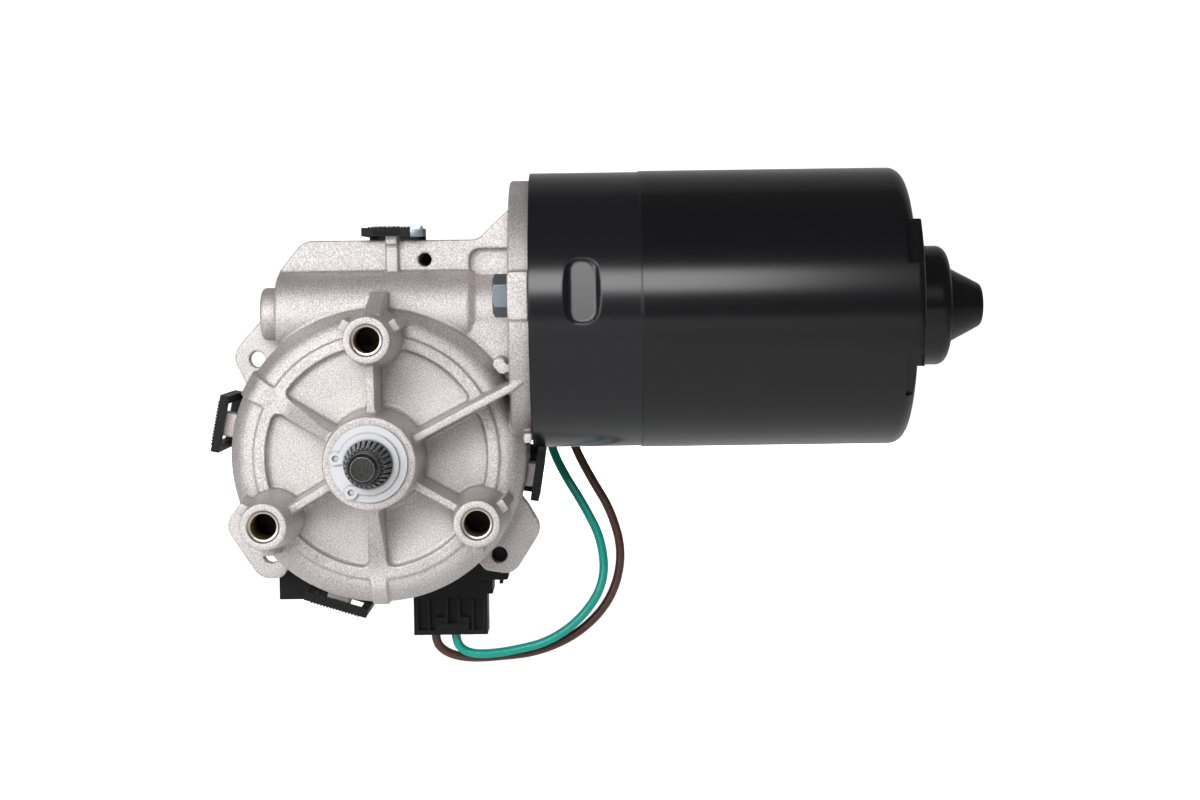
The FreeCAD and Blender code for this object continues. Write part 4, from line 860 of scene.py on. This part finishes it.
def block(name, low, high, rounding):
    """Box between two corners in millimetres, with its edges bevelled."""
    bpy.ops.object.select_all(action="DESELECT")
    bpy.ops.mesh.primitive_cube_add(size=1)
    piece = bpy.context.object
    piece.name = piece.data.name = name
    low, high = Vector(low) * MM, Vector(high) * MM
    piece.location = (low + high) / 2
    piece.scale = high - low
    bpy.ops.object.transform_apply(location=True, rotation=True, scale=True)
    bevel = piece.modifiers.new("edges", "BEVEL")
    bevel.width = rounding * MM
    bevel.segments = 2
    finish_modifiers(piece)
    return piece


for number, (angle, (x, z)) in enumerate(zip(BOSS_ANGLES, TAP_PLACES), 1):
    fins = []
    for side in (FIN_ANGLE, -FIN_ANGLE):
        fin = block(f"boss_fins_{number}", FIN_LOW, FIN_HIGH, FIN_ROUNDING)
        fin.rotation_euler = (0, -math.radians(angle + side), 0)
        fin.location = (x * MM, 0, z * MM)
        bpy.ops.object.transform_apply(location=True, rotation=True, scale=True)
        fins.append(fin)
    finish_piece(joined(*fins), cast)
print("fins", 2 * len(TAP_PLACES))

# %% [markdown]
# The top snap clip has fine grip ridges and a plated pad at its right end. The
# ridges could be bump alone, but bump has no outline against the white wall. So
# one ridge is a bevelled bar, and an Array modifier repeats it.

# %% Clip details
RIDGE_LOW = (-1.0, 30.82, 60.55)
RIDGE_HIGH = (-0.72, 31.6, 62.98)
RIDGE_ROUNDING = 0.06
RIDGE_PITCH = 0.52
RIDGE_COUNT = 15
PAD_LOW = (9.4, 30.8, 60.0)
PAD_HIGH = (12.7, 34.0, 62.95)
PAD_ROUNDING = 0.15

ridges = block("clip_ridges", RIDGE_LOW, RIDGE_HIGH, RIDGE_ROUNDING)
row = ridges.modifiers.new("row", "ARRAY")
row.count = RIDGE_COUNT
row.use_relative_offset = False
row.use_constant_offset = True
row.constant_offset_displace = (RIDGE_PITCH * MM, 0, 0)
finish_modifiers(ridges)
finish_piece(ridges, nylon)
pad = block("clip_pad", PAD_LOW, PAD_HIGH, PAD_ROUNDING)
finish_piece(pad, bolt_steel)
print("ridges", RIDGE_COUNT)

# %% [markdown]
# The can is one steel cup in black enamel. Behind a faint step its paint is
# blacker and a little glossier than round the mouth. Two materials would need
# the mesh to be split there, and a CAD mesh is never changed. So one material
# has both, and the place along the can decides which of them shows.

# %% Can paint
CAN_STEP = 72.5
GLOSS = 0.20
SATIN = 0.21
SATIN_SHARE = 0.6
SATIN_TINT = (0.012, 0.012, 0.015)


def can_paint():
    """Black enamel whose gloss and tint change at a place along the can."""
    material = finish("black_enamel", (0.007, 0.007, 0.008), (0.004, 0.004, 0.005), (GLOSS, GLOSS),
                      grain=1.2, bump=0.02, edge=0.8, edge_glint_tint=(0.03, 0.03, 0.032), edge_glint=0.6, crease_shade=0.0,
                      Specular_IOR_Level=0.42)
    tree = material.node_tree
    shader = tree.nodes["Principled BSDF"]
    place = tree.nodes.new("ShaderNodeTexCoord").outputs["Object"]
    parts = tree.nodes.new("ShaderNodeSeparateXYZ")
    tree.links.new(place, parts.inputs[0])
    before = add_math(tree, "LESS_THAN", parts.outputs["X"], CAN_STEP * MM)
    rough = add_math(tree, "MULTIPLY_ADD", before, SATIN - GLOSS, GLOSS)
    tree.links.new(rough, shader.inputs["Roughness"])
    tint = shader.inputs["Base Color"].links[0].from_socket
    share = add_math(tree, "MULTIPLY", before, SATIN_SHARE)
    mixed = add_mix(tree, share, tint, SATIN_TINT)
    tree.links.new(mixed, shader.inputs["Base Color"])
    return material


dress(can_paint(), "motor_can")
print("can painted")

# %% [markdown]
# The scene ends by updating the view layer.

# %% Update
bpy.context.view_layer.update()
